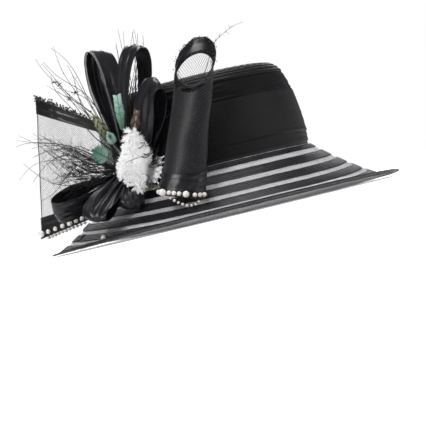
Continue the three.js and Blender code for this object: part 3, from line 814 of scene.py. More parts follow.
@dataclass(frozen=True)
class HatForm:
    """The hat body's shape, as the frame has it but smooth. Bearings run from the face side."""

    side: float = 91.0
    front: float = 102.5
    seam: float = 48.0
    rim_side: float = 169.0
    rim_front: float = 177.0
    slant: float = 98.0
    flare: float = 0.22
    edge: float = 91.4
    valley: float = 77.0
    lip_rise: float = 7.5
    lip_span: float = 110.0
    clearance: float = GAP
    ribbon_height: float = 2.15
    halvings: int = 24
    trim_turn: float = -15.0
    sections: tuple[tuple[float, float], ...] = (
        (1.0, 45.0), (0.988, 78.0), (0.948, 104.0), (0.905, 119.0), (0.85, 127.0), (0.75, 132.0), (0.0, 137.0)
    )

    @property
    def mean(self) -> float:
        """The crown's mean radius at the seam."""
        return (self.side + self.front) / 2

    @property
    def shift(self) -> Array:
        """The hat's middle in the row's frame, read from the crown's box."""
        low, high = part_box("crown")
        return np.array([(low[0] + high[0]) / 2 / MM, (low[1] + high[1]) / 2 / MM, 0.0])

    def lip(self, bearing: Array) -> Array:
        """Returns how strongly the rim turns up at a bearing, 0 to 1."""
        share = np.abs(np.arctan2(np.sin(bearing), np.cos(bearing))) / math.radians(self.lip_span)
        return 1 - smooth(0.2, 1.0, share)

    def height(self, along: Array, bearing: Array) -> Array:
        """Returns the height of the brim's underside.

        Args:
            along: distance from the crown along the slope.
            bearing: angle from the face side.

        Returns:
            Height over the surface that the hat stands on.
        """
        out = np.clip(along / self.edge, 0, 1)
        plain = self.seam * (1 - out) * (1 - self.flare * out)
        lip_share = np.clip((along - self.valley) / (self.slant - self.valley), 0, None)
        inner = np.clip(1 - along / self.valley, 0, None)
        turned = self.seam * inner**1.3 + self.lip_rise * lip_share**1.4
        wave = 0.4 * (2 + np.sin(3 * bearing + 0.7) + np.sin(5 * bearing + 2.0)) * (along / self.slant) ** 3
        return mix(plain, turned, self.lip(bearing)) + 0.5 * wave

    def oval(self, along: Array) -> tuple[Array, Array]:
        """Returns the brim's half width and half depth at a distance along the slope."""
        share = along / self.slant
        side = mix(self.side + self.clearance, self.rim_side, share)
        return side, mix(self.front + self.clearance, self.rim_front, share)

    def brim(self, along: Array, bearing: Array, lift: Array | float) -> Array:
        """Returns points over the brim.

        Args:
            along: distance from the crown along the slope.
            bearing: angle from the face side.
            lift: height over the brim's underside.

        Returns:
            Points in the row's frame.
        """
        side, front = self.oval(along)
        x, y = side * np.sin(bearing), -front * np.cos(bearing)
        return joined(x, y, self.height(along, bearing) + lift) + self.shift

    def crown_line(self) -> Array:
        """Returns the crown's smooth outline as shares and heights, from the seam to the top."""
        return rounded(np.array(self.sections))

    def crown_radius(self, z: Array) -> Array:
        """Returns the crown's radius at a height, before it is made oval."""
        line = self.crown_line()
        return self.mean * np.interp(z, line[:, 1], line[:, 0])

    def crown(self, radius: Array, bearing: Array, z: Array) -> Array:
        """Returns points of the oval crown in the row's frame."""
        x = radius * (self.side / self.mean) * np.sin(bearing)
        y = -radius * (self.front / self.mean) * np.cos(bearing)
        return joined(x, y, z) + self.shift

    def turned(self, x: Array, y: Array) -> tuple[Array, Array]:
        """Returns the trim's x and y turned the row's way."""
        turn = math.radians(self.trim_turn)
        return x * math.cos(turn) - y * math.sin(turn), x * math.sin(turn) + y * math.cos(turn)

    def trimmed(self, points: Array) -> Array:
        """Returns points of the trim carried into the row's frame."""
        return np.stack([*self.turned(points[..., 0], points[..., 1]), points[..., 2]], -1) + self.shift

    def turned_way(self, way: Array) -> Array:
        """Returns a direction of the trim in the row's frame."""
        return self.trimmed(way) - self.trimmed(np.zeros(3))

    def ribbon_top(self, x: Array, y: Array) -> Array:
        """Returns the height of the brim ribbons' top under points of the trim."""
        hat_x, hat_y = self.turned(x, y)
        low, high = np.zeros_like(hat_x), np.full_like(hat_x, self.slant)
        for _ in range(self.halvings):
            middle = (low + high) / 2
            side, front = self.oval(middle)
            outside = np.hypot(hat_x / side, hat_y / front) > 1
            low, high = np.where(outside, middle, low), np.where(outside, high, middle)
        side, front = self.oval(low)
        return self.height(low, np.arctan2(hat_x / side, -hat_y / front)) + self.ribbon_height


def round_uv(bearing: Array, across: Array, radius: float) -> Array:
    """Returns cloth places for a band that runs round the hat."""
    return joined((bearing * radius)[:, None], across[None])


@dataclass
class Crown:
    """The stiff crown with its lining, sweatband, satin bands and ribbed braid."""

    form: HatForm
    wardrobe: Wardrobe
    facets: int = 200
    wall: float = 2.0
    sweatband_low: float = 45.6
    sweatband_width: float = 30.0
    band: tuple[float, float] = (51.8, 103.2)
    upper: tuple[float, float] = (103.7, 120.3)
    braid: tuple[float, float] = (120.8, 131.5)
    braid_cords: int = 6
    sweatband_radius: float = 92.0
    upper_radius: float = 90.0
    braid_radius: float = 84.0
    shell_seed: int = 11
    band_seed: int = 21
    upper_seed: int = 31

    def build(self) -> None:
        """Builds every piece of the crown."""
        self.build_shell()
        self.build_sweatband()
        self.build_band()
        self.build_upper_band()
        self.build_braid()

    def build_shell(self) -> None:
        """Builds the crown's stiff shell, with its satin outside and its lined inside."""
        line = self.form.crown_line()
        line = line[line[:, 0] > 0.02]
        steps = np.linspace(0, 1, 60)
        length = arc(line * [self.form.mean, 1])
        share = np.interp(steps * length[-1], length, line[:, 0])
        z = np.interp(steps * length[-1], length, line[:, 1])
        rng = np.random.default_rng(self.shell_seed)
        b = bearings(self.facets)
        dent = 1.2 * smooth(0.75, 0.2, share)
        soft = rumple(np.cos(b[:, None]) * share * 90, np.sin(b[:, None]) * share * 90, rng, (70, 70))
        radius = self.form.mean * share[None] - 0.2
        outer = self.form.crown(radius, b[:, None], z[None] - dent[None] + 0.35 * soft * smooth(130, 134, z))
        inner_radius = np.maximum(self.form.mean * share - self.wall, 0.4)
        under = z - self.wall * (1 - share) - 0.4 - dent
        inner = self.form.crown(inner_radius[None], b[:, None], under[None])
        mould = Mould()
        first, second = ring(mould.cells(outer)), ring(mould.cells(inner))
        uv = round_uv(bearings(self.facets, 1), steps * length[-1], self.form.mean)
        mould.grid(first, uv, 0)
        mould.grid(second, uv, 1, flip=True)
        mould.grid(np.stack([first[:, 0], second[:, 0]], 1), uv[:, :2], 1, flip=True)
        mould.lid(first[:-1, -1])
        mould.lid(second[:-1, -1], 1, flip=True)
        set_piece(mould, "crown_shell", [self.wardrobe.crown, self.wardrobe.lining], ["crown"])

    def build_sweatband(self) -> None:
        """Builds the ribbed band inside the crown's foot, with its lapped join at the back."""
        b = np.linspace(-math.pi, math.pi + 0.13, self.facets)
        across = np.linspace(0, self.sweatband_width, 12)
        lap = smooth(math.pi - 0.05, math.pi + 0.02, b)
        z = self.sweatband_low + across
        radius = self.form.crown_radius(z)[None] - self.wall - 0.7 - 0.8 * lap[:, None]
        radius = radius - 0.5 * np.sin(math.pi * across / self.sweatband_width)[None]
        mould = Mould()
        uv = round_uv(b, across, self.sweatband_radius)
        mould.sheet(self.form.crown(radius, b[:, None], z[None]), uv, BAND)
        set_piece(mould, "inner_sweatband", [self.wardrobe.sweatband])

    def build_band(self) -> None:
        """Builds the wide satin hatband, with a turned fold near its foot and slight drag lines."""
        b = bearings(self.facets)
        across = np.linspace(0, self.band[1] - self.band[0], 62)
        z = self.band[0] + across
        rng = np.random.default_rng(self.band_seed)
        drag = rumple(b[:, None] * self.sweatband_radius, across[None], rng, (150, 11), 8)
        drag = drag * (0.35 + 0.65 * smooth(0.4, -0.9, np.cos(b[:, None] + 1.1)))
        fold = 8.5 + 2.2 * np.sin(b + 0.6) + 0.9 * np.sin(3 * b + 1)
        step = smooth(-0.5, 0.5, across[None] - fold[:, None])
        roll = 0.5 * np.exp(-(((across[None] - fold[:, None] - 1.2) / 1.1) ** 2))
        fold_two = fold - 3.6 + 0.8 * np.sin(2 * b + 2)
        pleat = 0.35 * smooth(-0.4, 0.4, across[None] - fold_two[:, None])
        pad = np.minimum(across, across[-1] - across)
        hem = 0.25 * np.sqrt(np.clip(1 - (pad / 1.2), 0, 1))
        radius = self.form.crown_radius(z)[None] + 0.75 + 0.7 * step + roll + pleat + 0.07 * drag - hem[None]
        mould = Mould()
        uv = round_uv(bearings(self.facets, 1), across, self.form.mean)
        mould.sheet(self.form.crown(radius, b[:, None], z[None]), uv, BAND, wrap=True)
        set_piece(mould, "hatband_satin", [self.wardrobe.band], ["hatband"])

    def build_upper_band(self) -> None:
        """Builds the narrower band over the hatband, pulled into faint wrinkles with wavy edges."""
        b = bearings(self.facets)
        across = np.linspace(0, self.upper[1] - self.upper[0], 40)
        rng = np.random.default_rng(self.upper_seed)
        edge = 0.5 * rumple(b, b * 0, rng, (0.9, 1))
        z = self.upper[0] + 0.2 + across[None] * 0.98 + edge[:, None] * (1 - across[None] / across[-1])
        creases = rumple(b[:, None] * 88, across[None], rng, (42, 6.5), 9)
        creases = np.clip(creases, -1.2, 1.6) * (0.45 + 0.55 * smooth(0.3, -0.8, np.cos(b[:, None] + 0.9)))
        roll = 0.45 * np.exp(-(((across - 1.0) / 0.9) ** 2))
        radius = self.form.crown_radius(z) + 0.95 + 0.24 * creases + roll[None]
        mould = Mould()
        uv = round_uv(bearings(self.facets, 1), across, self.upper_radius)
        mould.sheet(self.form.crown(radius, b[:, None], z), uv, SATIN, wrap=True)
        finishes = [self.wardrobe.upper_band]
        set_piece(mould, "upper_band_satin", finishes, ["crown_upper_band"])

    def build_braid(self) -> None:
        """Builds the ribbed braid round the top edge as rows of twisted satin cords on a tape."""
        b = bearings(self.facets)
        low, high = self.braid
        mould = Mould()
        across = np.linspace(0, 1, 8 * self.braid_cords + 1)
        line = self.form.crown_line()
        length = arc(line * [self.form.mean, 1])
        start, end = np.interp([low, high], line[:, 1], length)
        spot = mix(start, end + 1.5, across)
        share, z = np.interp(spot, length, line[:, 0]), np.interp(spot, length, line[:, 1])
        grow = unit(np.gradient(np.stack([share * self.form.mean, z], -1), axis=0))
        swell = 0.9 * np.abs(np.sin(math.pi * across * self.braid_cords)) ** 0.7
        wobble = 1 + 0.12 * np.sin(47 * b[:, None] + 3 * across[None] * self.braid_cords)
        lift = 0.75 + swell[None] * wobble
        radius = share[None] * self.form.mean + lift * grow[:, 1][None]
        height = z[None] - lift * grow[:, 0][None]
        uv = round_uv(bearings(self.facets, 1), spot - start, self.braid_radius)
        points = self.form.crown(radius, b[:, None], height)
        mould.sheet(points, uv, RIBBON, wrap=True)
        set_piece(mould, "tip_braid_satin", [self.wardrobe.braid], ["crown_tip_braid"])


@dataclass
class Brim:
    """The sheer brim with six satin ribbons laid round it, and its wired sheer edge."""

    form: HatForm
    wardrobe: Wardrobe
    facets: int = 240
    ribbons: tuple[tuple[float, float], ...] = (
        (1.5, 7.0), (13.0, 23.0), (29.0, 39.0), (45.0, 55.0), (61.0, 71.0), (77.5, 90.7)
    )
    rib_pitch: float = 1.9
    rib_height: float = 0.34
    ribbon_lift: float = 1.45
    mean_radius: float = 130.0
    edge_radius: float = 168.0
    sheer_seed: int = 41
    ribbon_seed: int = 50
    stitch_pitch: float = 4.2
    stitch_length: float = 2.6
    stitch_inset: float = 0.9
    edge_wires: tuple[tuple[float, float], ...] = (
        (91.8, 0.34), (92.9, 0.34), (94.2, 0.34), (95.6, 0.34), (97.3, 0.62)
    )
    edge_lift: float = 1.15
    binding_pitch: float = 3.0
    binding_radius: float = 0.75

    def ring_length(self, along: float) -> float:
        """Returns the length of a ring round the brim, at a distance along its slope."""
        points = self.form.brim(along, bearings(self.facets, 1), 0.0)
        return float(arc(points)[-1])

    def build(self) -> None:
        """Builds every piece of the brim."""
        self.build_sheer()
        for number in range(len(self.ribbons)):
            self.build_ribbon(number)
        self.build_edge()
        self.build_tacking()

    def build_sheer(self) -> None:
        """Builds the open-weave sheet that carries the ribbons."""
        b = bearings(self.facets)
        along = np.linspace(0, self.form.edge - self.form.clearance, 42)
        rng = np.random.default_rng(self.sheer_seed)
        sag = 0.12 * rumple(b[:, None] * self.mean_radius, along[None], rng, (40, 30))
        mould = Mould()
        uv = round_uv(bearings(self.facets, 1), along, self.mean_radius)
        mould.sheet(self.form.brim(along[None], b[:, None], 0.6 + sag), uv, SHEER, wrap=True)
        width, length = 106.0, self.ring_length(48.0)
        set_piece(mould, "brim_sheer_cloth", [self.wardrobe.sheer], ["brim_sheer"])

    def build_ribbon(self, number: int) -> None:
        """Builds one satin ribbon with its fine ridges, edge stitches and lapped end.

        Args:
            number: place of the ribbon, from the crown out.
        """
        low, high = self.ribbons[number]
        width = high - low
        ribs = max(3, round(width / self.rib_pitch))
        across = np.linspace(0, 1, 5 * ribs + 1)
        rng = np.random.default_rng(self.ribbon_seed + number)
        join = 0.5 + 0.27 * number
        b = np.linspace(-math.pi, math.pi + 0.07, self.facets) + join
        lap = smooth(math.pi + join - 0.02, math.pi + join + 0.01, b)
        edge = 0.1 * rumple(b * self.mean_radius, b * 0, rng, (60, 1))
        along = low + across[None] * width + edge[:, None]
        along = np.minimum(along, self.form.edge - 0.6)
        ridge = self.rib_height * np.abs(np.sin(math.pi * across * ribs)) ** 0.8
        puff = 0.22 * np.sin(math.pi * across) ** 0.5
        pucker = 0.1 * rumple(b[:, None] * self.mean_radius, along, rng, (9, 14), 5)
        lift = self.ribbon_lift - 0.25 + (ridge + puff)[None] + pucker + 0.9 * lap[:, None]
        mould = Mould()
        uv = round_uv(b, across * width, 91 + low * 0.8)
        mould.sheet(self.form.brim(along, b[:, None], lift), uv, RIBBON)
        for along_row in (low + self.stitch_inset, high - self.stitch_inset):
            self.stitch(mould, along_row, b, self.ribbon_lift + 0.42, rng)
        length = self.ring_length((low + high) / 2) * 1.011
        name = f"brim_ribbon_{number + 1}_satin"
        set_piece(mould, name, [self.wardrobe.ribbon], [f"brim_ribbon_{number + 1}"])

    def stitch(
        self, mould: Mould, along: float, b: Array, lift: float, rng: np.random.Generator
    ) -> None:
        """Adds a row of small stitches round a ribbon.

        Args:
            mould: the ribbon's mesh.
            along: the row's distance along the slope.
            b: the ribbon's bearings.
            lift: height over the brim's underside.
            rng: the source of the stitches' unevenness.
        """
        count = int(self.ring_length(along) / self.stitch_pitch)
        start = np.linspace(b[0], b[0] + TAU, count, endpoint=False)
        reach = self.stitch_length / self.stitch_pitch * TAU / count
        steps = np.linspace(0, 1, 4)
        turn = start[:, None] + reach * steps[None]
        arch = 0.22 * np.sin(math.pi * steps)[None] + rng.uniform(-0.03, 0.03, (count, 1))
        mould.rods(self.form.brim(np.full_like(turn, along), turn, lift - 0.12 + arch), 0.14, 3, 0.8)

    def build_edge(self) -> None:
        """Builds the sheer edge with its rows of wire and its bound rim."""
        b = bearings(self.facets)
        along = np.linspace(self.form.edge + 0.1, self.form.slant - 0.6, 16)
        scallop = 0.12 * np.sin(along * 4.4)[None] + 0 * b[:, None]
        mould = Mould()
        uv = round_uv(bearings(self.facets, 1), along, self.edge_radius)
        mould.sheet(self.form.brim(along[None], b[:, None], self.edge_lift + scallop), uv, SHEER, wrap=True)
        for along_wire, radius in self.edge_wires:
            wire = self.form.brim(np.full_like(b, along_wire), b, self.edge_lift)
            mould.rods(wire[None], radius, 6, 0.5, 1, closed=True)
        turns = int(self.ring_length(97.4) / self.binding_pitch)
        start = np.arange(turns) * TAU / turns
        steps = np.linspace(0, TAU, 6)
        path_along = 96.9 + self.binding_radius * np.cos(steps)
        path_lift = self.edge_lift + self.binding_radius * np.sin(steps)
        turn = start[:, None] + 0.35 * TAU / turns * steps[None] / TAU
        mould.rods(self.form.brim(path_along[None], turn, path_lift[None]), 0.13, 3, 0.8, 1)
        length = self.ring_length(94.7)
        finishes = [self.wardrobe.edge, self.wardrobe.ribbon]
        set_piece(mould, "brim_edge_cloth", finishes, ["brim_edge"])

    def build_tacking(self) -> None:
        """Builds the pale tacking thread that crosses the underside at the wearer's right."""
        along = np.linspace(3, 90, 60)
        b = np.radians(-62 - 0.12 * along)
        weave = -0.35 + 0.1 * np.sin(along * 0.9)
        mould = Mould()
        mould.rods(self.form.brim(along, b, weave)[None], 0.22, 5)
        set_piece(mould, "brim_tacking_thread", [self.wardrobe.thread])


@dataclass(frozen=True)
class Spring:
    """A local frame that runs from the knot towards a loop's or feather's end."""

    root: Array
    along: Array
    rise: Array
    across: Array
    length: float

    def place(self, x: Array, y: Array, z: Array) -> Array:
        """Returns the points at distances along, up and across."""
        x, y, z = (np.asarray(value)[..., None] for value in np.broadcast_arrays(x, y, z))
        return self.root + self.along * x + self.rise * y + self.across * z


@dataclass(frozen=True)
class Knot:
    """The gathered ball of ribbon ends that the whole trim springs from."""

    centre: Place = (-76.5, -78.7, 64.0)
    radius: float = 15.0

    def root(self, way: Array, stand: float = 0.0) -> Array:
        """Returns the point that stands off the knot's skin in a direction."""
        return np.array(self.centre) + unit(np.asarray(way, float)) * (self.radius + GAP + stand)

    def spring(self, root: Array, end: Place, face: Place) -> Spring:
        """Returns the frame from a root to an end, with its width along a face."""
        way = np.array(end) - root
        along = unit(way)
        across = np.array(face, float)
        across = unit(across - along * across.dot(along))
        return Spring(root, along, np.cross(across, along), across, float(np.linalg.norm(way)))

    def build(self, form: HatForm, wardrobe: Wardrobe) -> None:
        """Builds the knot as a puckered ball with a wrapped band."""
        polar = np.linspace(0.04, math.pi - 0.04, 40)
        turn = np.linspace(0, TAU, 97)
        swirl = 5.5 * turn[:, None] + 2.6 * np.cos(polar[None]) + 0.8 * np.sin(2 * turn[:, None])
        pleat = 1 - 0.15 * (1 - np.abs(np.sin(swirl))) * np.sqrt(np.sin(polar[None]))
        wrap = 1 + 0.05 * np.exp(-((np.cos(polar[None] - 0.2 * np.sin(turn[:, None])) / 0.3) ** 2))
        radius = self.radius * 0.97 * pleat * wrap
        out = radius * np.sin(polar)
        skin = joined(out * np.cos(turn[:, None]), -radius * np.cos(polar), out * np.sin(turn[:, None]))
        points = form.trimmed(skin[:-1] + np.array(self.centre))
        mould = Mould()
        index = ring(mould.cells(points))
        mould.grid(index, joined(turn[:, None] * self.radius, polar[None] * self.radius))
        mould.lid(index[:-1, 0], flip=True)
        mould.lid(index[:-1, -1])
        set_piece(mould, "trim_knot_satin", [wardrobe.satin], ["trim_knot"])


@dataclass(frozen=True)
class SatinLoop:
    """One loop of satin ribbon that springs from the knot, gathered at its neck."""

    node: str
    width: float
    bulge: float
    stand: float
    root: Place
    end: Place
    face: Place
    seed: int
    pleats: float = 2.5
    pleat_height: float = 2.0
    cup: float = 1.5
    twist: float = 0.0
    sheer_edge: float = 0.0
    crease: float = 1.1
    neck: float = 0.32
    pinch: float = 0.25
    neck_share: float = 0.87

    def build(self, form: HatForm, wardrobe: Wardrobe, knot: Knot) -> None:
        """Builds the loop.

        Args:
            form: the hat's shape.
            wardrobe: the hat's finishes.
            knot: what the loop springs from.
        """
        spring = knot.spring(knot.root(self.root, self.stand), self.end, self.face)
        rng = np.random.default_rng(self.seed)
        turn = np.linspace(0.0, TAU, 121)
        share = np.linspace(-0.5, 0.5, 37)
        middle = self.surface(spring, turn[:, None], share[None], rng)
        length = arc(middle[:, 18])
        wide = self.width * 1.02
        uv = joined(length[:, None], (share * wide)[None])
        mould = Mould()
        mould.sheet(form.trimmed(middle), uv, RIBBON)
        finishes = [wardrobe.satin, wardrobe.edge]
        for column in (0, -1):
            mould.rods(form.trimmed(middle[:, column])[None], 0.42, 5)
        if self.sheer_edge:
            wider = np.linspace(0.5, 0.5 + self.sheer_edge / self.width, 7)
            lace = self.surface(spring, turn[:, None], wider[None], np.random.default_rng(self.seed))
            spot = joined(length[:, None], (wider * wide)[None])
            mould.sheet(form.trimmed(lace), spot, NET, finish=1)
            mould.rods(form.trimmed(lace[:, -1])[None], 0.3, 5)
        set_piece(mould, f"{self.node}_ribbon", finishes, [self.node])

    def surface(self, spring: Spring, turn: Array, share: Array, rng: np.random.Generator) -> Array:
        """Returns the ribbon's middle points.

        Args:
            spring: the loop's frame.
            turn: place round the loop, 0 to a full turn.
            share: place across the ribbon, -0.5 to 0.5.
            rng: the source of its unevenness.

        Returns:
            Points in the trim's frame.
        """
        out = (1 - np.cos(turn)) / 2
        gather = mix(self.neck, 1.0, np.clip(1.6 * out, 0, 1) ** 0.8)
        swell = (self.bulge - 0.55) * mix(self.pinch, 1.0, out)
        neck = np.exp(-out * 5.0)
        fold = np.sin(TAU * self.pleats * share + 1.2 * np.sin(turn) + self.seed)
        ripple = self.pleat_height * fold * neck
        soft = self.crease * rumple(turn * 18, share * 20, rng, (60, 7), 6) * smooth(0.0, 0.3, out)
        crown = self.cup * (1 - (2 * share) ** 2) * np.sin(turn / 2) ** 2
        inset = 0.55 + (ripple + soft) * 0.5 - crown + self.cup
        x = mix(-4.0, spring.length, out**0.97) - inset * np.maximum(-np.cos(turn), 0)
        side = np.sign(np.sin(turn) + 1e-6)
        y = -swell * np.sin(turn) - (ripple + soft) * side * np.abs(np.cos(turn / 2 + 0.4))
        z = share * self.width * gather
        angle = math.radians(self.twist) * out
        y, z = y * np.cos(angle) + z * np.sin(angle), z * np.cos(angle) - y * np.sin(angle)
        return spring.place(x, y, z)


SATIN_LOOPS = (
    SatinLoop(
        "satin_loop_left", 23, 14, 0, (-8, 32, 114), (-80, -44, 178), (-0.5, -0.85, 0), 3, 2.0, 1.6,
        twist=14, sheer_edge=3.4,
    ),
    SatinLoop(
        "satin_loop_middle", 22, 17, 0, (30, -12, 108), (-44, -85, 172), (0.35, -0.93, 0), 5, 2.5, 1.5,
        twist=-22,
    ),
    SatinLoop(
        "satin_loop_front", 27, 11, 2, (104, -52, 47), (-34, -112, 137), (0.8, -0.35, -0.45), 8, 3.0, 1.8,
        cup=5.0, twist=38,
    ),
    SatinLoop(
        "low_loop_left", 24, 12, 0, (-75, -27, -32), (-152, -98, 40), (0.1, -0.95, 0.3), 13, 3.5, 2.2,
        twist=-34,
    ),
    SatinLoop(
        "low_loop_middle", 24, 9, 0, (-42, -35, -37), (-119, -120, 25), (-0.35, 0.3, 0.9), 17, 4.0, 1.8,
        cup=4.5, twist=-34,
    ),
    SatinLoop(
        "low_loop_right", 22, 8, 0, (-3, -22, -42), (-82, -104, 26.5), (0.95, -0.2, 0.1), 21, 3.5, 1.6,
        cup=4.0, twist=24,
    ),
)


@dataclass
class MeshLoop:
    """A wide loop of crinoline ribbon with a satin border along each edge."""

    name: str
    form: HatForm
    wardrobe: Wardrobe
    net: bpy.types.Material
    border: float = 0.108
    tuck: float = 0.03
    low_border_reach: float = 0.108
    seed: int = 61
    wraps: bool = False

    def point(self, turn: Array, share: Array, inset: Array | float) -> Array:
        """Returns points of the loop for a turn round it, a share up it and an inset from its outer skin."""
        raise NotImplementedError

    def density(self, turn: Array) -> Array:
        """Returns how dense the net is at each turn round the loop, 0 to 1."""
        return 0.5 + 0 * turn

    def border_share(self, turn: Array) -> Array:
        """Returns the share of the top border's width that shows at each turn round the loop."""
        return 1 + 0 * turn

    def band(self, low: float, high: float, columns: int) -> tuple[Array, Array, Array]:
        """Returns the turns, the shares and the cloth places of one band of the ribbon."""
        turn = np.linspace(0, TAU, 161)
        share = np.linspace(low, high, columns)
        skin = self.point(turn[:, None], share[None], 0.7)
        along, across = arc(skin[:, columns // 2]), arc(skin[len(turn) // 2])
        return turn, share, joined(along[:, None], across[None])

    def build(self) -> None:
        """Builds the two borders and the net between them."""
        self.build_border("border_low", 0.0, self.low_border_reach, 1.0)
        self.build_border("border_top", 1 - self.border, 1.0, -1.0)
        self.build_net()

    def build_border(self, part: str, low: float, high: float, side: float) -> None:
        """Builds one satin border with gathers across it and a rolled free edge.

        Args:
            part: the border's part of its node's name.
            low: share of the ribbon where it starts.
            high: share where it ends.
            side: 1 where its free edge is the lower one, -1 where it is the upper one.
        """
        rng = np.random.default_rng(self.seed + (7 if side > 0 else 3))
        turn, share, uv = self.band(low, high, 25)
        ruffle = rumple(uv[..., 0], uv[..., 1], rng, (13, 30), 6)
        long_fold = rumple(uv[..., 0], uv[..., 1], rng, (90, 7), 5)
        free = (share - low) / (high - low)
        free = 1 - free if side > 0 else free
        inset = 0.62 - 0.22 * ruffle * (0.25 + 0.75 * free[None]) - 0.18 * long_fold - 0.3
        kept = self.border_share(turn[:, None]) if side < 0 else 1.0
        middle = self.point(turn[:, None], high - (high - share[None]) * kept, inset)
        mould = Mould()
        lay = middle[:-1] if self.wraps else middle
        mould.sheet(self.form.trimmed(lay), uv, SATIN, wrap=self.wraps)
        for column in (0, -1):
            row = self.form.trimmed(lay[:, column])
            mould.rods(row[None], 0.45, 6, closed=self.wraps)
        node = f"{self.name}_{part}"
        set_piece(mould, f"{node}_satin", [self.wardrobe.satin], [node])

    def build_net(self) -> None:
        """Builds the net between the borders."""
        low, high = self.border - 0.03, 1 - self.border + self.tuck
        turn, share, uv = self.band(low, high, 49)
        rng = np.random.default_rng(self.seed)
        hang = np.sin(math.pi * (share - low) / (high - low))
        sag = rumple(uv[..., 0], uv[..., 1], rng, (60, 70), 5) * hang
        middle = self.point(turn[:, None], share[None], 1.25 - 0.5 * sag)
        mould = Mould()
        density = np.broadcast_to(self.density(turn[:, None]), middle.shape[:2])
        lay, density = (middle[:-1], density[:-1]) if self.wraps else (middle, density)
        mould.sheet(self.form.trimmed(lay), uv, NET, wrap=self.wraps, tone=density)
        self.crease(mould, middle)
        node = f"{self.name}_panel"
        finishes = [self.net, self.wardrobe.satin, self.wardrobe.dense_mesh]
        set_piece(mould, f"{node}_net", finishes, [node])

    def crease(self, mould: Mould, middle: Array) -> None:
        """Adds whatever line the net is creased along; the plain loop has none."""

    def build_fray(
        self, turns: tuple[float, float], count: int, reach: tuple[float, float], bead: float
    ) -> None:
        """Builds the frayed threads and tiny beads along the loop's top edge.

        Args:
            turns: the part of the loop that is frayed.
            count: number of threads.
            reach: shortest and longest thread.
            bead: radius of the tiny beads.
        """
        rng = np.random.default_rng(self.seed + 20)
        turn = rng.uniform(*turns, count)
        base = self.point(turn, np.full(count, 0.992), rng.uniform(0.3, 1.0, count))
        way = unit(rng.normal(0, 1, (count, 3)) * [0.8, 0.7, 0.35] + [0, 0, 0.75])
        length = rng.uniform(*reach, count)
        bow = rng.normal(0, 0.25, (count, 3)) * length[:, None]
        steps = strides(5)
        paths = base[:, None] + way[:, None] * length[:, None, None] * steps
        paths = paths + bow[:, None] * steps * (1 - steps) * 2
        mould = Mould()
        mould.rods(self.form.trimmed(paths), np.linspace(0.17, 0.08, 5), 3, 0.5)
        for spot in self.form.trimmed(paths[:, -1])[: int(count * 0.55)]:
            mould.ball(spot, bead * rng.uniform(0.7, 1.2), rng.normal(0, 1, 3), 0.1, 5, 6)
        set_piece(mould, f"{self.name}_fray", [self.wardrobe.black])


@dataclass
class WideLoop(MeshLoop):
    """The wide see-through loop that lies out over the brim."""

    inner_low: Place = (-92.7, -79.0, 32.0)
    inner_high: Place = (-90.2, -77.0, 108.0)
    outer_low: Place = (-172.0, -47.0, 20.0)
    outer_high: Place = (-147.0, -47.0, 148.0)
    bulge: float = 12.0
    pinch: float = 0.3

    @property
    def length(self) -> float:
        """The loop's length at half its width."""
        inner = (np.array(self.inner_low) + self.inner_high) / 2
        outer = (np.array(self.outer_low) + self.outer_high) / 2
        return float(np.linalg.norm(inner - outer))

    def point(self, turn: Array, share: Array, inset: Array | float) -> Array:
        """Returns points of the loop for a turn round it, a share up it and an inset from its outer skin."""
        turn, share, inset = np.broadcast_arrays(turn, share, inset)
        out = (1 - np.cos(turn)) / 2
        reach = mix(inset / self.length, 1 - inset / self.length, out)[..., None]
        through = (self.bulge * mix(self.pinch, 1.0, out) - inset) * np.sin(turn)
        inner = mix(np.array(self.inner_low), np.array(self.inner_high), share[..., None])
        outer = mix(np.array(self.outer_low), np.array(self.outer_high), share[..., None])
        spot = mix(inner, outer, reach)
        spot[..., 1] -= through
        return spot

    def crease(self, mould: Mould, middle: Array) -> None:
        """Adds the dark creased line at the fold, and the pleated neck that is gathered into the knot."""
        mould.rods(self.form.trimmed(middle[len(middle) // 2])[None], 0.42, 6, 0.5, 1)
        knot = Knot()
        share = np.linspace(0.12, 0.98, 73)
        start = self.point(np.full_like(share, 0.6), share, 0.9)
        inner = knot.root(start - np.array(knot.centre))
        steps = np.linspace(0, 1, 15)[:, None, None]
        neck = mix(start[None], inner[None], steps)
        neck[..., 1] += 1.3 * np.sin(share[None] * 75 + 3 * steps[..., 0]) * np.sin(math.pi * steps[..., 0])
        uv = joined(steps[..., 0] * 25, share[None] * 76)
        tone = np.broadcast_to(mix(0.6, 1.0, steps[..., 0]), neck.shape[:2])
        mould.sheet(self.form.trimmed(neck), uv, NET, tone=tone, finish=2)

    def front(self, out: float, share: float) -> Array:
        """Returns a point of the front skin for shares out along and up the loop."""
        return self.point(np.arccos(1 - 2 * out), share, 0.0)


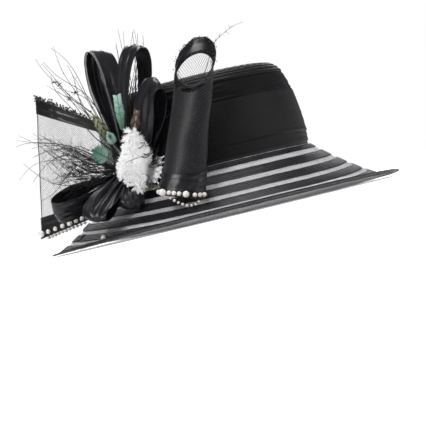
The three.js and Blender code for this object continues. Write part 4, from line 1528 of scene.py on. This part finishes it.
@dataclass
class TallLoop(MeshLoop):
    """The tall dense loop that stands like a tube in front of the crown."""

    low: tuple[float, float] = (-35.0, -133.0)
    high: tuple[float, float] = (5.0, -112.0)
    half_width: float = 20.0
    half_depth: float = 15.0
    top: float = 143.0
    back_rise: float = 20.0
    right_rise: float = 8.0
    open_lift: float = 26.0
    open_bearing: float = 215.0
    wraps: bool = True

    def density(self, turn: Array) -> Array:
        """Returns how dense the net is at each turn round the loop, 0 to 1."""
        return smooth(0.35, -0.15, np.sin(turn))

    def border_share(self, turn: Array) -> Array:
        """Returns the share of the top border's width that shows at each turn round the loop."""
        return mix(0.16, 1.0, smooth(-0.75, 0.25, np.sin(turn)))

    def point(self, turn: Array, share: Array, inset: Array | float) -> Array:
        """Returns points of the loop for a turn round it, a share up it and an inset from its outer skin."""
        turn, share, inset = np.broadcast_arrays(turn, share, inset)
        right, back = (self.half_width - inset) * np.cos(turn), (self.half_depth - inset) * np.sin(turn)
        bearing = np.arctan2(back / self.half_depth, right / self.half_width)
        opening = (1 + np.cos(bearing - math.radians(self.open_bearing))) / 2
        foot = self.form.ribbon_top(self.low[0] + right, self.low[1] + back) + 0.5 + self.open_lift * opening
        top = self.top + self.back_rise * back / self.half_depth + self.right_rise * right / self.half_width
        x = mix(self.low[0], self.high[0], share) + right
        y = mix(self.low[1], self.high[1], share) + back
        return np.stack([x, y, mix(foot, top, share)], -1)

    def skin(self, degrees: float, share: float) -> Array:
        """Returns a point of the outer skin for a bearing in degrees and a share up the loop."""
        return self.point(math.radians(degrees), share, 0.0)


@dataclass(frozen=True)
class Feather:
    """A feather with a bare stem, a shaft and a vane of separate barbs."""

    node: str
    finish: str
    slot: str
    end: Place
    vane: float
    stem: float
    seed: int
    barbs: int = 90
    blunt: float = 0.5
    curl: float = 3.0
    ragged: float = 0.12
    skew: float = 0.8
    trimmed_at: float = 0.985
    lean: float = 1.4
    fronds: int = 1
    fan: float = 0.0
    face: Place = (0.1, -1.0, 0.1)

    def build(self, form: HatForm, wardrobe: Wardrobe, knot: Knot) -> None:
        """Builds the feather, or a tuft of several fronds that spread from one stem.

        Args:
            form: the hat's shape.
            wardrobe: the hat's finishes.
            knot: what the feather springs from.
        """
        rng = np.random.default_rng(self.seed)
        way = np.array(self.end) - knot.centre
        root = knot.root(way)
        stem = knot.spring(root, self.end, self.face)
        mould = Mould()
        for frond in range(self.fronds):
            place = frond - (self.fronds - 1) / 2
            tip = self.end + stem.rise * place * self.fan - stem.along * abs(place) * self.fan * 0.45
            spring = knot.spring(root, tip, self.face)
            shaft = np.linspace(-2, spring.length * 0.94, 24)
            line = self.lay(spring, shaft, shaft * 0)
            mould.rods(form.trimmed(line)[None], np.linspace(0.42, 0.1, len(line)), 6, 0.3)
            for side in (-1.0, 1.0):
                self.add_vane(mould, form, spring, side, rng)
        finish = getattr(wardrobe, self.finish)
        set_piece(mould, f"{self.node}_plume", [finish], [self.node])

    def lay(self, spring: Spring, x: Array, y: Array, lift: Array | float = 0.0) -> Array:
        """Returns points on the curled feather."""
        share = np.clip(x / spring.length, 0, 1.2)
        cup = -0.35 * np.abs(y) ** 1.3 * 0.35
        return spring.place(x, y, self.curl * share**3 * 0.6 + cup + lift)

    def half_width(self, share: Array) -> Array:
        """Returns the vane's half width at a share along the vane."""
        body = np.clip(np.sin(math.pi * np.clip(share, 0, 1) ** self.skew), 0, 1) ** self.blunt
        return self.vane * body

    def add_vane(
        self, mould: Mould, form: HatForm, spring: Spring, side: float, rng: np.random.Generator
    ) -> None:
        """Adds the barbs of one side of the vane.

        Args:
            mould: the feather's mesh.
            form: the hat's shape.
            spring: the feather's frame.
            side: 1 or -1.
            rng: the source of the barbs' unevenness.
        """
        start, end = spring.length * self.stem, spring.length
        root_share = np.linspace(-0.02, 0.93, self.barbs)
        span = end - start
        steps = np.linspace(0, 1, 6)
        clump = (np.clip(root_share, 0, 0.999) * 9).astype(int)
        lean = mix(0.5, self.lean, root_share) * rng.uniform(0.9, 1.1, self.barbs)
        lean = lean + rng.uniform(-0.16, 0.16, 9)[clump]
        uneven = rng.uniform(1 - self.ragged, 1 + 0.5 * self.ragged, self.barbs)
        uneven = uneven * rng.uniform(0.92, 1.03, 9)[clump]
        reach = self.half_width(np.clip(root_share + 0.22, 0.02, self.trimmed_at)) * uneven
        x = start + span * root_share[:, None] + reach[:, None] * lean[:, None] * steps[None] * 0.62
        x = np.minimum(x, end + 0.4 * steps[None])
        y = side * reach[:, None] * (steps[None] ** 0.85)
        each = (self.barbs, 1)
        wave = rng.normal(0, 0.12, each) * steps[None] * self.vane * 0.4
        paths = form.trimmed(self.lay(spring, x + wave, y, rng.normal(0, 0.12, each)))
        taper = np.array([0.7, 1.0, 1.0, 0.9, 0.6, 0.15])[None]
        widths = max(span / self.barbs * 2.6, 0.42) * taper * rng.uniform(0.8, 1.2, each)
        spot = np.stack([(x - start) / span, y / self.vane], -1)
        # Each barb gets a random tone, painted darker towards its root as painted shade where the barbs crowd
        # by the shaft, and a little at its tip.
        tone = rng.uniform(0.1, 1.0, each) * np.array([0.5, 0.8, 1, 1, 1, 0.9])[None]
        mould.blades(paths, widths, form.turned_way(spring.across), spot, tone, 0.25)


FEATHERS = (
    Feather(
        "mint_feather", "mint", "mint_feather", (-71, -106, 132), 4.4, 0.4, 71, 80, 0.4, skew=1.9,
        trimmed_at=0.86, lean=0.7,
    ),
    Feather("round_feather", "dotted", "mint_feather", (-88, -98, 101), 4.7, 0.5, 73, 70, 0.5),
    Feather("teal_feather", "teal", "teal_feather", (-106, -107, 88), 8.2, 0.35, 75, 110, 0.5),
    Feather("barred_feather", "barred", "barred_feather", (-99, -97, 124), 5, 0.4, 77, 90, 0.6),
    Feather(
        "brown_feather", "brown", "brown_feather", (-56, -108, 114), 4.6, 0.4, 79, 80, 0.5, ragged=0.3,
        skew=1.4, trimmed_at=0.9, lean=1.0,
    ),
    Feather("barred_curl", "barred", "barred_feather", (-57, -107, 37), 5.5, 0.3, 81, 80, 0.7, ragged=0.3),
    Feather(
        "white_tuft", "white", "white_feather", (-42, -112, 53), 4.2, 0.3, 83, 48, 0.7, ragged=0.35,
        fronds=6, fan=5.5,
    ),
)


@dataclass(frozen=True)
class Spray:
    """A spray of fine black stripped strands, with side barbs and curled ends."""

    node: str
    end: Place
    spread: float
    neck: float
    face: Place
    seed: int
    strands: int
    barbs: int
    curl: float
    barb_reach: float
    shortest: float = 0.45
    radius: float = 0.3
    longest: float = 1.0
    bias: float = 0.0
    lift: float = 0.0
    tufts: int = 0

    def build(self, form: HatForm, wardrobe: Wardrobe, knot: Knot) -> None:
        """Builds the spray.

        Args:
            form: the hat's shape.
            wardrobe: the hat's finishes.
            knot: what the spray springs from.
        """
        rng = np.random.default_rng(self.seed)
        way = np.array(self.end) - knot.centre
        spring = knot.spring(knot.root(way), self.end, self.face)
        mould = Mould()
        steps = np.linspace(0, 1, 14)
        reach = spring.length * rng.uniform(self.shortest, self.longest, self.strands)
        reach[::9] = spring.length * 0.97
        fan = np.clip(rng.uniform(-1, 1, self.strands) + self.bias, -1.1, 1.1)
        reach = reach * (1 + self.bias * np.clip(fan, 0, 1))
        fan = np.sign(fan) * np.abs(fan) ** 0.85
        x = -3 + (reach[:, None] + 3) * steps[None]
        width = self.spread * (reach / spring.length)[:, None]
        body = smooth(self.neck * 0.4, 1.0, steps)[None] * 0.55 + 0.45 * steps[None] ** 1.3
        y = fan[:, None] * width * body
        each = (self.strands, 1)
        bow = np.clip(rng.normal(0, self.curl, each), -self.curl, self.curl)
        y = y + bow * np.sin(math.pi * steps)[None] * 0.6 - bow * steps[None] ** 4 * 0.8
        wiggle = rng.normal(0, self.curl * 0.22, each)
        phase = steps[None] * rng.uniform(0.8, 1.8, each)
        phase = phase + rng.uniform(0, 1, each)
        y = y + wiggle * np.sin(TAU * phase) * steps[None]
        z = rng.normal(0, 1.2, each) * steps[None]
        z = z + rng.uniform(-1, 1, each) * 3.0 * steps[None] ** 2
        y = self.spread * 1.1 * np.tanh(y / (self.spread * 1.1))
        z = z + self.lift * steps[None] ** 1.5
        paths = spring.place(x, y, z)
        size = self.radius * rng.uniform(0.75, 1.2, each) * mix(1.0, 0.28, steps)[None]
        mould.rods(form.trimmed(paths), size, 4, rng.uniform(0.3, 0.9, each))
        self.add_barbs(mould, form, spring, paths, rng)
        for path in paths[1 : 1 + self.tufts]:
            self.add_tuft(mould, form, path[rng.integers(9, 13)], rng)
        set_piece(mould, f"{self.node}_strands", [wardrobe.black], [self.node])

    def add_tuft(self, mould: Mould, form: HatForm, spot: Array, rng: np.random.Generator) -> None:
        """Adds a small dark tuft round a point of a strand."""
        ways = unit(rng.normal(0, 1, (16, 3)))[:, None] * rng.uniform(2.0, 4.2, (16, 1, 1))
        steps = strides(5)
        paths = spot + ways * steps + rng.normal(0, 0.8, (16, 1, 3)) * steps**2
        mould.rods(form.trimmed(paths), np.linspace(0.3, 0.12, 5), 3, 0.5)

    def add_barbs(
        self, mould: Mould, form: HatForm, spring: Spring, paths: Array, rng: np.random.Generator
    ) -> None:
        """Adds the side barbs that branch off the strands.

        Args:
            mould: the spray's mesh.
            form: the hat's shape.
            spring: the spray's frame.
            paths: the strands' points.
            rng: the source of the barbs' places and bends.
        """
        count = self.barbs * len(paths)
        strand = np.repeat(np.arange(len(paths)), self.barbs)
        spot = rng.uniform(0.28, 0.9, count) * (paths.shape[1] - 1)
        near = np.minimum(spot.astype(int), paths.shape[1] - 2)
        part = (spot - near)[:, None]
        base = mix(paths[strand, near], paths[strand, near + 1], part)
        along = unit(paths[strand, near + 1] - paths[strand, near])
        side = np.cross(along, spring.across) * rng.choice([-1.0, 1.0], count)[:, None]
        angle = rng.uniform(0.35, 1.1, count)[:, None]
        way = along * np.cos(angle) + side * np.sin(angle) + spring.across * rng.normal(0, 0.3, (count, 1))
        far = smooth(0.68, 0.82, (base - spring.root) @ spring.along / spring.length)
        fade = mix(1.0, 0.35, spot / paths.shape[1]) * (1 - 0.8 * far)
        length = self.barb_reach * rng.uniform(0.35, 1.0, (count, 1, 1)) * fade[:, None, None]
        steps = strides(9)
        turn = rng.choice([-1.0, 1.0], (count, 1, 1)) * rng.uniform(0.6, 2.6, (count, 1, 1)) * steps
        sideways = np.cross(way, spring.across)[:, None]
        circle = way[:, None] * np.sin(turn) + sideways * (1 - np.cos(turn))
        curve = base[:, None] + length * steps * circle / np.where(np.abs(turn) < 1e-6, 1.0, turn)
        curve = curve + rng.normal(0, 0.12, (count, 1, 3)) * length * steps**2
        mould.rods(form.trimmed(curve), np.linspace(0.24, 0.1, 9), 3, 0.6)


SPRAYS = (
    Spray(
        "spray_left", (-173, -130, 83), 38, 0.06, (0.3, -1, 0), 91, 50, 9, 19.0, 15.0, 0.42, 0.46, 0.84,
        bias=-0.32,
    ),
    Spray("spray_quills", (-130, -84, 187), 18, 0.3, (0.2, -1, 0), 95, 12, 5, 14.0, 7.0, 0.6, 0.5, tufts=4),
    Spray("spray_top", (-45, -46, 190), 19, 0.66, (0, -1, 0.1), 97, 18, 4, 6.0, 9.0, 0.78, 0.52),
    Spray("spray_right", (-37, -104, 68), 13, 0.2, (0.5, -1, 0.1), 99, 24, 5, 8.0, 9.0, 0.6, 0.46, lift=11.0),
)


@dataclass(frozen=True)
class StrayStrand:
    """One long bent strand that comes out from behind the tall loop."""

    bends: tuple[Place, ...] = (
        (-69, -87, 74), (-40, -95, 96), (-14, -97.5, 112), (9, -97, 128), (18.5, -96.5, 145), (24, -96, 156),
        (36, -95, 163), (47, -93, 167.6), (55, -91, 168.8),
    )
    barbs: int = 18
    seed: int = 103

    def build(self, form: HatForm, wardrobe: Wardrobe) -> None:
        """Builds the strand with its side barbs."""
        rng = np.random.default_rng(self.seed)
        line = rounded(np.array(self.bends, float))
        mould = Mould()
        mould.rods(form.trimmed(line)[None], np.linspace(0.4, 0.14, len(line)), 4, 0.5)
        spots = line[(rng.uniform(0.56, 0.9, self.barbs) * len(line)).astype(int)][:, None]
        steps = strides(5)
        ways = unit(rng.normal(0, 1, (self.barbs, 1, 3)) + 0.8) * rng.uniform(1.5, 5.0, (self.barbs, 1, 1))
        barbs = spots + ways * steps + rng.normal(0, 0.7, (self.barbs, 1, 3)) * steps**2
        mould.rods(form.trimmed(barbs), np.linspace(0.22, 0.1, 5), 3, 0.6)
        set_piece(mould, "stray_strand", [wardrobe.black])


@dataclass(frozen=True)
class FeatherPad:
    """The white fluffy feather pad in front of the knot: a crowned body under rows of plumelets."""

    outline: tuple[tuple[float, float], ...] = (
        (-64.5, 101), (-61, 97), (-57, 86), (-51, 70), (-60, 61), (-61, 48), (-70.5, 37), (-78, 45),
        (-87.5, 54), (-86, 70), (-80, 76), (-75, 90), (-70, 99),
    )
    centre: tuple[float, float] = (-69.0, 69.0)
    thickness: float = 6.0
    back: float = -106.1
    lean: float = 0.04
    level: float = 64.0
    plumelets: int = 330
    barbs: int = 9
    curls: int = 12
    seed: int = 101
    curl_seed: int = 103

    def edge(self, turns: Array) -> Array:
        """Returns the distance from the centre to the smooth outline at each turn."""
        line = ring(np.array(self.outline) - self.centre)
        for _ in range(2):
            line = ring(halved(line, 0.2))
        angle = np.arctan2(line[:-1, 1], line[:-1, 0])
        order = np.argsort(angle)
        size = np.linalg.norm(line[:-1], axis=1)[order]
        return np.interp(np.arctan2(np.sin(turns), np.cos(turns)), angle[order], size, period=TAU)

    def place(self, right: Array, up: Array, depth: Array) -> Array:
        """Returns points of the trim at a depth in front of the pad's back."""
        return joined(right, self.back - self.lean * (self.level - up) - depth, up)

    def face_depth(self, share: Array) -> Array:
        """Returns the depth of the pad's face at a share of the way to its edge."""
        return 1.2 + (self.thickness - 1.6) * np.clip(1 - share**2.2, 0, 1) ** 0.6

    def build(self, form: HatForm, wardrobe: Wardrobe) -> None:
        """Builds the pad.

        Args:
            form: the hat's shape.
            wardrobe: the hat's finishes.
        """
        rng = np.random.default_rng(self.seed)
        turns = np.linspace(-math.pi, math.pi, 145)
        rings = np.linspace(0.02, 1, 22)
        serrate = 1 - 0.05 * np.abs(np.sin(turns * 19 + 2 * np.sin(turns * 5)))
        size = self.edge(turns) * 0.88
        radius = size[:, None] * rings[None] * mix(1.0, serrate[:, None], rings[None] ** 6)
        right = self.centre[0] + radius * np.cos(turns[:, None])
        up = self.centre[1] + radius * np.sin(turns[:, None])
        lumps = 0.25 * rumple(right, up, rng, (9, 9), 8)
        front = self.place(right, up, self.face_depth(rings[None]) + lumps * (1 - rings[None] ** 4))
        back = self.place(right, up, 0.1 + 0.5 * rings[None] ** 2)
        mould = Mould()
        tops = ring(mould.cells(form.trimmed(front[:-1]), 0.8))
        lows = ring(mould.cells(form.trimmed(back[:-1]), 0.8))
        uv = joined(rings[None], turns[:, None] * 0)
        mould.grid(tops, uv, 0, flip=True)
        mould.grid(lows, uv, 0)
        mould.grid(np.stack([tops[:, -1], lows[:, -1]], 1), uv[:, :2], 0, flip=True)
        mould.lid(tops[:-1, 0])
        mould.lid(lows[:-1, 0], flip=True)
        self.add_plumelets(mould, form, rng)
        self.add_quills(mould, form)
        finishes = [wardrobe.white, wardrobe.black]
        piece = set_piece(
            mould, "white_feather_pad_plumes", finishes, ["white_feather_pad"]
        )

    def add_plumelets(self, mould: Mould, form: HatForm, rng: np.random.Generator) -> None:
        """Adds the small overlapping plumelets whose tips make the ragged edge.

        Args:
            mould: the pad's mesh.
            form: the hat's shape.
            rng: the source of their places.
        """
        count = self.plumelets
        turn = rng.uniform(-math.pi, math.pi, count)
        share = np.sqrt(rng.uniform(0.0, 0.8, count))
        size = self.edge(turn)
        right = self.centre[0] + size * share * np.cos(turn)
        up = self.centre[1] + size * share * np.sin(turn)
        depth = self.face_depth(share)
        heading = turn + rng.normal(0, 0.45, count)
        spread = np.linspace(-0.75, 0.75, self.barbs)
        angle = (heading[:, None] + spread[None] * rng.uniform(0.7, 1.2, (count, 1))).reshape(-1)
        whose = np.repeat(np.arange(count), self.barbs)
        length = rng.uniform(4.0, 7.0, count)[whose] * (1 - 0.3 * np.abs(np.tile(spread, count)))
        room = size[whose] * rng.uniform(0.9, 1.08, len(whose)) - size[whose] * share[whose]
        length = np.minimum(length, np.maximum(room, 1.5))
        steps = np.linspace(0, 1, 5)[None]
        x = right[whose][:, None] + length[:, None] * steps * np.cos(angle)[:, None]
        z = up[whose][:, None] + length[:, None] * steps * np.sin(angle)[:, None]
        out = np.hypot(x - self.centre[0], z - self.centre[1])
        near = self.edge(np.arctan2(z - self.centre[1], x - self.centre[0]))
        floor = self.face_depth(np.clip(out / near, 0, 1))
        lift = rng.uniform(0.4, 1.5, (len(whose), 1)) * np.sin(math.pi * steps * 0.62) + 0.1
        path = form.trimmed(self.place(x, z, np.minimum(floor, depth[whose][:, None]) + lift))
        widths = rng.uniform(0.5, 0.8, (len(whose), 1)) * np.array([0.6, 1.0, 1.0, 0.7, 0.15])[None]
        face = form.turned_way(np.array([0.0, -1.0, 0.0]))
        # Each plumelet's barbs get a random tone, painted darker towards the root as painted shade under the
        # overlapping plumelets.
        tone = rng.uniform(0.25, 1.0, (len(whose), 1)) * np.array([0.5, 0.75, 1, 1, 1])[None]
        mould.blades(path, widths, face, path_places(path), tone, 0.3)

    def add_quills(self, mould: Mould, form: HatForm) -> None:
        """Adds the thin dark quill that lies over the pad, and the dark curls over its right edge."""
        steps = np.linspace(0, 1, 12)
        right = mix(-78.0, -53.0, steps)
        up = 68.5 + 2.2 * steps + 0.8 * np.sin(3 * steps)
        share = np.abs(steps - 0.45) * 1.1
        path = self.place(right, up, self.face_depth(share) + 1.4)
        mould.rods(form.trimmed(path)[None], np.linspace(0.16, 0.28, len(steps)), 5, 0.5, 1)
        rng = np.random.default_rng(self.curl_seed)
        start = rng.uniform((-66.0, 46.0), (-55.0, 84.0), (self.curls, 2))
        each = (self.curls, 1)
        heading = rng.uniform(-1.0, 1.2, each)
        heading = heading + rng.uniform(-3.6, 3.6, each) * steps[None]
        pace = rng.uniform(8.0, 16.0, each) / len(steps)
        right = start[:, :1] + np.cumsum(np.cos(heading) * pace, 1)
        up = start[:, 1:] + np.cumsum(np.sin(heading) * pace, 1)
        out = np.hypot(right - self.centre[0], up - self.centre[1])
        edge = self.edge(np.arctan2(up - self.centre[1], right - self.centre[0]))
        depth = self.face_depth(np.clip(out / edge, 0, 1)) + rng.uniform(1.4, 3.0, each)
        mould.rods(form.trimmed(self.place(right, up, depth)), np.linspace(0.42, 0.2, len(steps)), 4, 0.2, 1)


@dataclass
class Pearls:
    """The pearls on the loops' lower edges, the strings of small beads and the pearl on the brim."""

    form: HatForm
    wardrobe: Wardrobe
    wide: WideLoop
    tall: TallLoop
    wide_pearls: tuple[tuple[float, float], ...] = (
        (0.97, 2.9), (0.89, 2.1), (0.8, 2.1), (0.71, 2.2), (0.62, 2.6), (0.545, 2.05), (0.47, 2.05)
    )
    tall_pearls: tuple[tuple[float, float], ...] = (
        (205, 2.2), (222, 3.3), (238, 2.1), (250, 2.1), (262, 2.1), (277, 3.0), (298, 2.1), (312, 2.1),
        (326, 2.2),
    )
    brim_pearl: tuple[float, float] = (-113.0, -107.0)
    brim_radius: float = 2.4
    edge_share: float = 0.03
    bead: float = 1.5

    def build(self) -> None:
        """Builds every pearl and bead."""
        for number, (share, radius) in enumerate(self.wide_pearls, 1):
            normal = np.array([-max(0.0, share - 0.5), -1.0, 0.0])
            spot = self.wide.front(share, self.edge_share) + unit(normal) * (radius + GAP)
            self.pearl(f"wide_loop_pearl_{number}", spot, radius, np.array([1.0, 0.2, 0.1 * number]))
        for number, (bearing, radius) in enumerate(self.tall_pearls, 1):
            turn = math.radians(bearing)
            right, back = math.cos(turn) / self.tall.half_width, math.sin(turn) / self.tall.half_depth
            normal = unit(np.array([right, back, 0.0]))
            spot = self.tall.skin(bearing, self.edge_share) + normal * (radius + GAP)
            self.pearl(f"tall_loop_pearl_{number}", spot, radius, np.array([-normal[1], normal[0], 0.3]))
        x, y = self.brim_pearl
        lift = self.form.ribbon_top(np.array([x]), np.array([y]))[0] + 0.15 + self.brim_radius + GAP
        self.pearl("brim_pearl", np.array([x, y, lift]), self.brim_radius, np.array([1.0, 0.3, 0.0]))
        self.build_wide_string()
        self.build_tall_string()

    def pearl(self, node: str, spot: Array, radius: float, axis: Array) -> None:
        """Builds one drilled pearl with the thread that sews it on.

        Args:
            node: the frame's node that it replaces.
            spot: its middle, in the trim's frame.
            radius: its radius.
            axis: the way of its drill hole.
        """
        mould = Mould()
        way = unit(axis)
        centre = self.form.trimmed(spot)
        turned = self.form.trimmed(spot + way) - centre
        mould.ball(centre, radius, turned, 0.09, 18, 28, 0.985)
        steps = np.linspace(-1, 1, 9)[:, None]
        stub = spot + way * steps * (radius + 0.5) + np.array([0, 0.9, -0.5]) * steps**6
        mould.rods(self.form.trimmed(stub)[None], 0.16, 5, 0.6, 1)
        set_piece(mould, f"{node}_drilled", [self.wardrobe.pearl, self.wardrobe.thread], [node])

    def string(self, node: str, path: Array, count: int, finish: bpy.types.Material) -> None:
        """Builds a string of small beads.

        Args:
            node: the frame's node that it replaces.
            path: points along the thread, in the trim's frame.
            count: number of beads.
            finish: the beads' own material.
        """
        rng = np.random.default_rng(count)
        mould = Mould()
        length = arc(path)
        spots = (np.arange(count) + 0.5) / count * length[-1]
        line = self.form.trimmed(path)
        for spot in spots:
            centre, ahead = (
                np.array([np.interp(place, length, line[:, axis]) for axis in range(3)])
                for place in (spot, spot + 0.5)
            )
            mould.ball(centre, self.bead * rng.uniform(0.88, 1.04), ahead - centre, 0.1, 12, 16, 0.9)
        mould.rods(line[None], 0.3, 5, 0.6, 1)
        set_piece(mould, f"{node}_strung", [finish, self.wardrobe.black], [node])

    def build_wide_string(self) -> None:
        """Builds the beads under the wide loop's lower edge."""
        path = np.array([self.wide.front(share, 0.0) for share in np.linspace(0.42, 0.92, 49)])
        path += [0, 0.7, -self.bead - GAP]
        self.string("wide_loop_beads", path, 11, self.wardrobe.grey_pearl)

    def build_tall_string(self) -> None:
        """Builds the beads that hang in a shallow swag under the tall loop."""
        shares = np.linspace(0, 1, 33)
        path = np.array([self.tall.skin(mix(236, 318, share), 0.0) for share in shares])
        fall = 0.85 + 6 * np.sin(math.pi * shares)
        path = path + np.stack([shares * 0, shares * 0 + 0.7, -fall], -1)
        self.string("tall_loop_beads", path, 8, self.wardrobe.pearl)


@dataclass
class Studio:
    """The plain pale floor, the soft lights and the camera."""

    azimuth: float = -15.0
    height: float = 0.018
    distance: float = 2.0
    roll: float = 13.5
    lens: float = 178.0
    aim: Place = (0.0046, 0.0002, 0.0058)
    sensor: float = 36.0
    floor_reach: float = 30.0
    lit: Place = (0.0, 0.0, 0.08)
    surroundings: float = 0.2
    lights: tuple[tuple[str, Place, float, float], ...] = (
        ("key", (-1.5, -1.5, 1.6), 0.8, 44.0), ("fill", (1.9, -1.1, 0.7), 1.0, 13.0),
        ("top", (0.2, 0.3, 2.1), 1.3, 44.0), ("back", (0.6, 1.9, 1.0), 1.2, 14.0),
    )

    def build(self) -> None:
        """Builds the studio."""
        self.build_floor()
        self.build_lights()
        self.build_camera()

    def build_floor(self) -> None:
        """Builds the floor."""
        mesh = bpy.data.meshes.new("studio_floor")
        signs = ((-1, -1), (1, -1), (1, 1), (-1, 1))
        corners = [(x * self.floor_reach, y * self.floor_reach, 0) for x, y in signs]
        mesh.from_pydata(corners, [], [(0, 1, 2, 3)])
        floor = bpy.data.objects.new("studio_floor", mesh)
        bpy.context.scene.collection.objects.link(floor)
        mesh.materials.append(Backdrop("pale_paper", (0.93, 0.93, 0.93)).material())

    def build_lights(self) -> None:
        """Builds the soft lights and the pale surroundings."""
        for name, place, size, power in self.lights:
            data = bpy.data.lights.new(f"studio_{name}", "AREA")
            data.shape = "DISK"
            data.size = size
            data.energy = power
            light = bpy.data.objects.new(f"studio_{name}", data)
            light.location = place
            light.rotation_mode = "QUATERNION"
            light.rotation_quaternion = (Vector(self.lit) - Vector(place)).to_track_quat("-Z", "Y")
            bpy.context.scene.collection.objects.link(light)
        world = bpy.data.worlds.new("studio_world")
        world.use_nodes = True
        tree = world.node_tree
        path = tree.nodes.new("ShaderNodeLightPath")
        strength = tree.nodes.new("ShaderNodeMapRange")
        strength.inputs[3].default_value = self.surroundings
        strength.inputs[4].default_value = 1.0
        tree.links.new(path.outputs["Is Camera Ray"], strength.inputs[0])
        back = tree.nodes["Background"]
        back.inputs[0].default_value = (1.0, 1.0, 1.0, 1.0)
        tree.links.new(strength.outputs[0], back.inputs[1])
        bpy.context.scene.world = world

    def build_camera(self) -> None:
        """Builds the camera at the photograph's angle, just over the floor."""
        data = bpy.data.cameras.new("studio_camera")
        data.lens = self.lens
        data.sensor_width = self.sensor
        data.clip_start, data.clip_end = 0.05, 100.0
        turn = math.radians(self.azimuth)
        spot = Vector((math.sin(turn) * self.distance, -math.cos(turn) * self.distance, self.height))
        look = Vector(self.aim) - spot
        camera = bpy.data.objects.new("studio_camera", data)
        camera.matrix_world = (
            Matrix.Translation(spot)
            @ look.to_track_quat("-Z", "Y").to_matrix().to_4x4()
            @ Matrix.Rotation(-math.radians(self.roll), 4, "Z")
        )
        bpy.context.scene.collection.objects.link(camera)
        bpy.context.scene.camera = camera
        bpy.context.scene.view_settings.view_transform = "Standard"
        bpy.context.scene.cycles.transparent_max_bounces = 32


def main() -> None:
    """Builds the whole hat and its studio."""
    logging.basicConfig(level=logging.INFO, format="%(message)s")
    form, wardrobe, knot = HatForm(), Wardrobe(), Knot()
    Studio().build()
    Crown(form, wardrobe).build()
    Brim(form, wardrobe).build()
    knot.build(form, wardrobe)
    for loop in SATIN_LOOPS:
        loop.build(form, wardrobe, knot)
    wide = WideLoop("wide_loop", form, wardrobe, wardrobe.fine_mesh, low_border_reach=0.145)
    tall = TallLoop("tall_loop", form, wardrobe, wardrobe.dense_mesh, low_border_reach=0.2, seed=67)
    wide.build()
    tall.build()
    wide.build_fray((0.9, 5.3), 330, (1.4, 5.2), 0.8)
    tall.build_fray((-0.6, 3.8), 210, (1.0, 3.2), 0.5)
    for feather in FEATHERS:
        feather.build(form, wardrobe, knot)
    for spray in SPRAYS:
        spray.build(form, wardrobe, knot)
    StrayStrand().build(form, wardrobe)
    FeatherPad().build(form, wardrobe)
    Pearls(form, wardrobe, wide, tall).build()


if __name__ == "__main__":
    main()
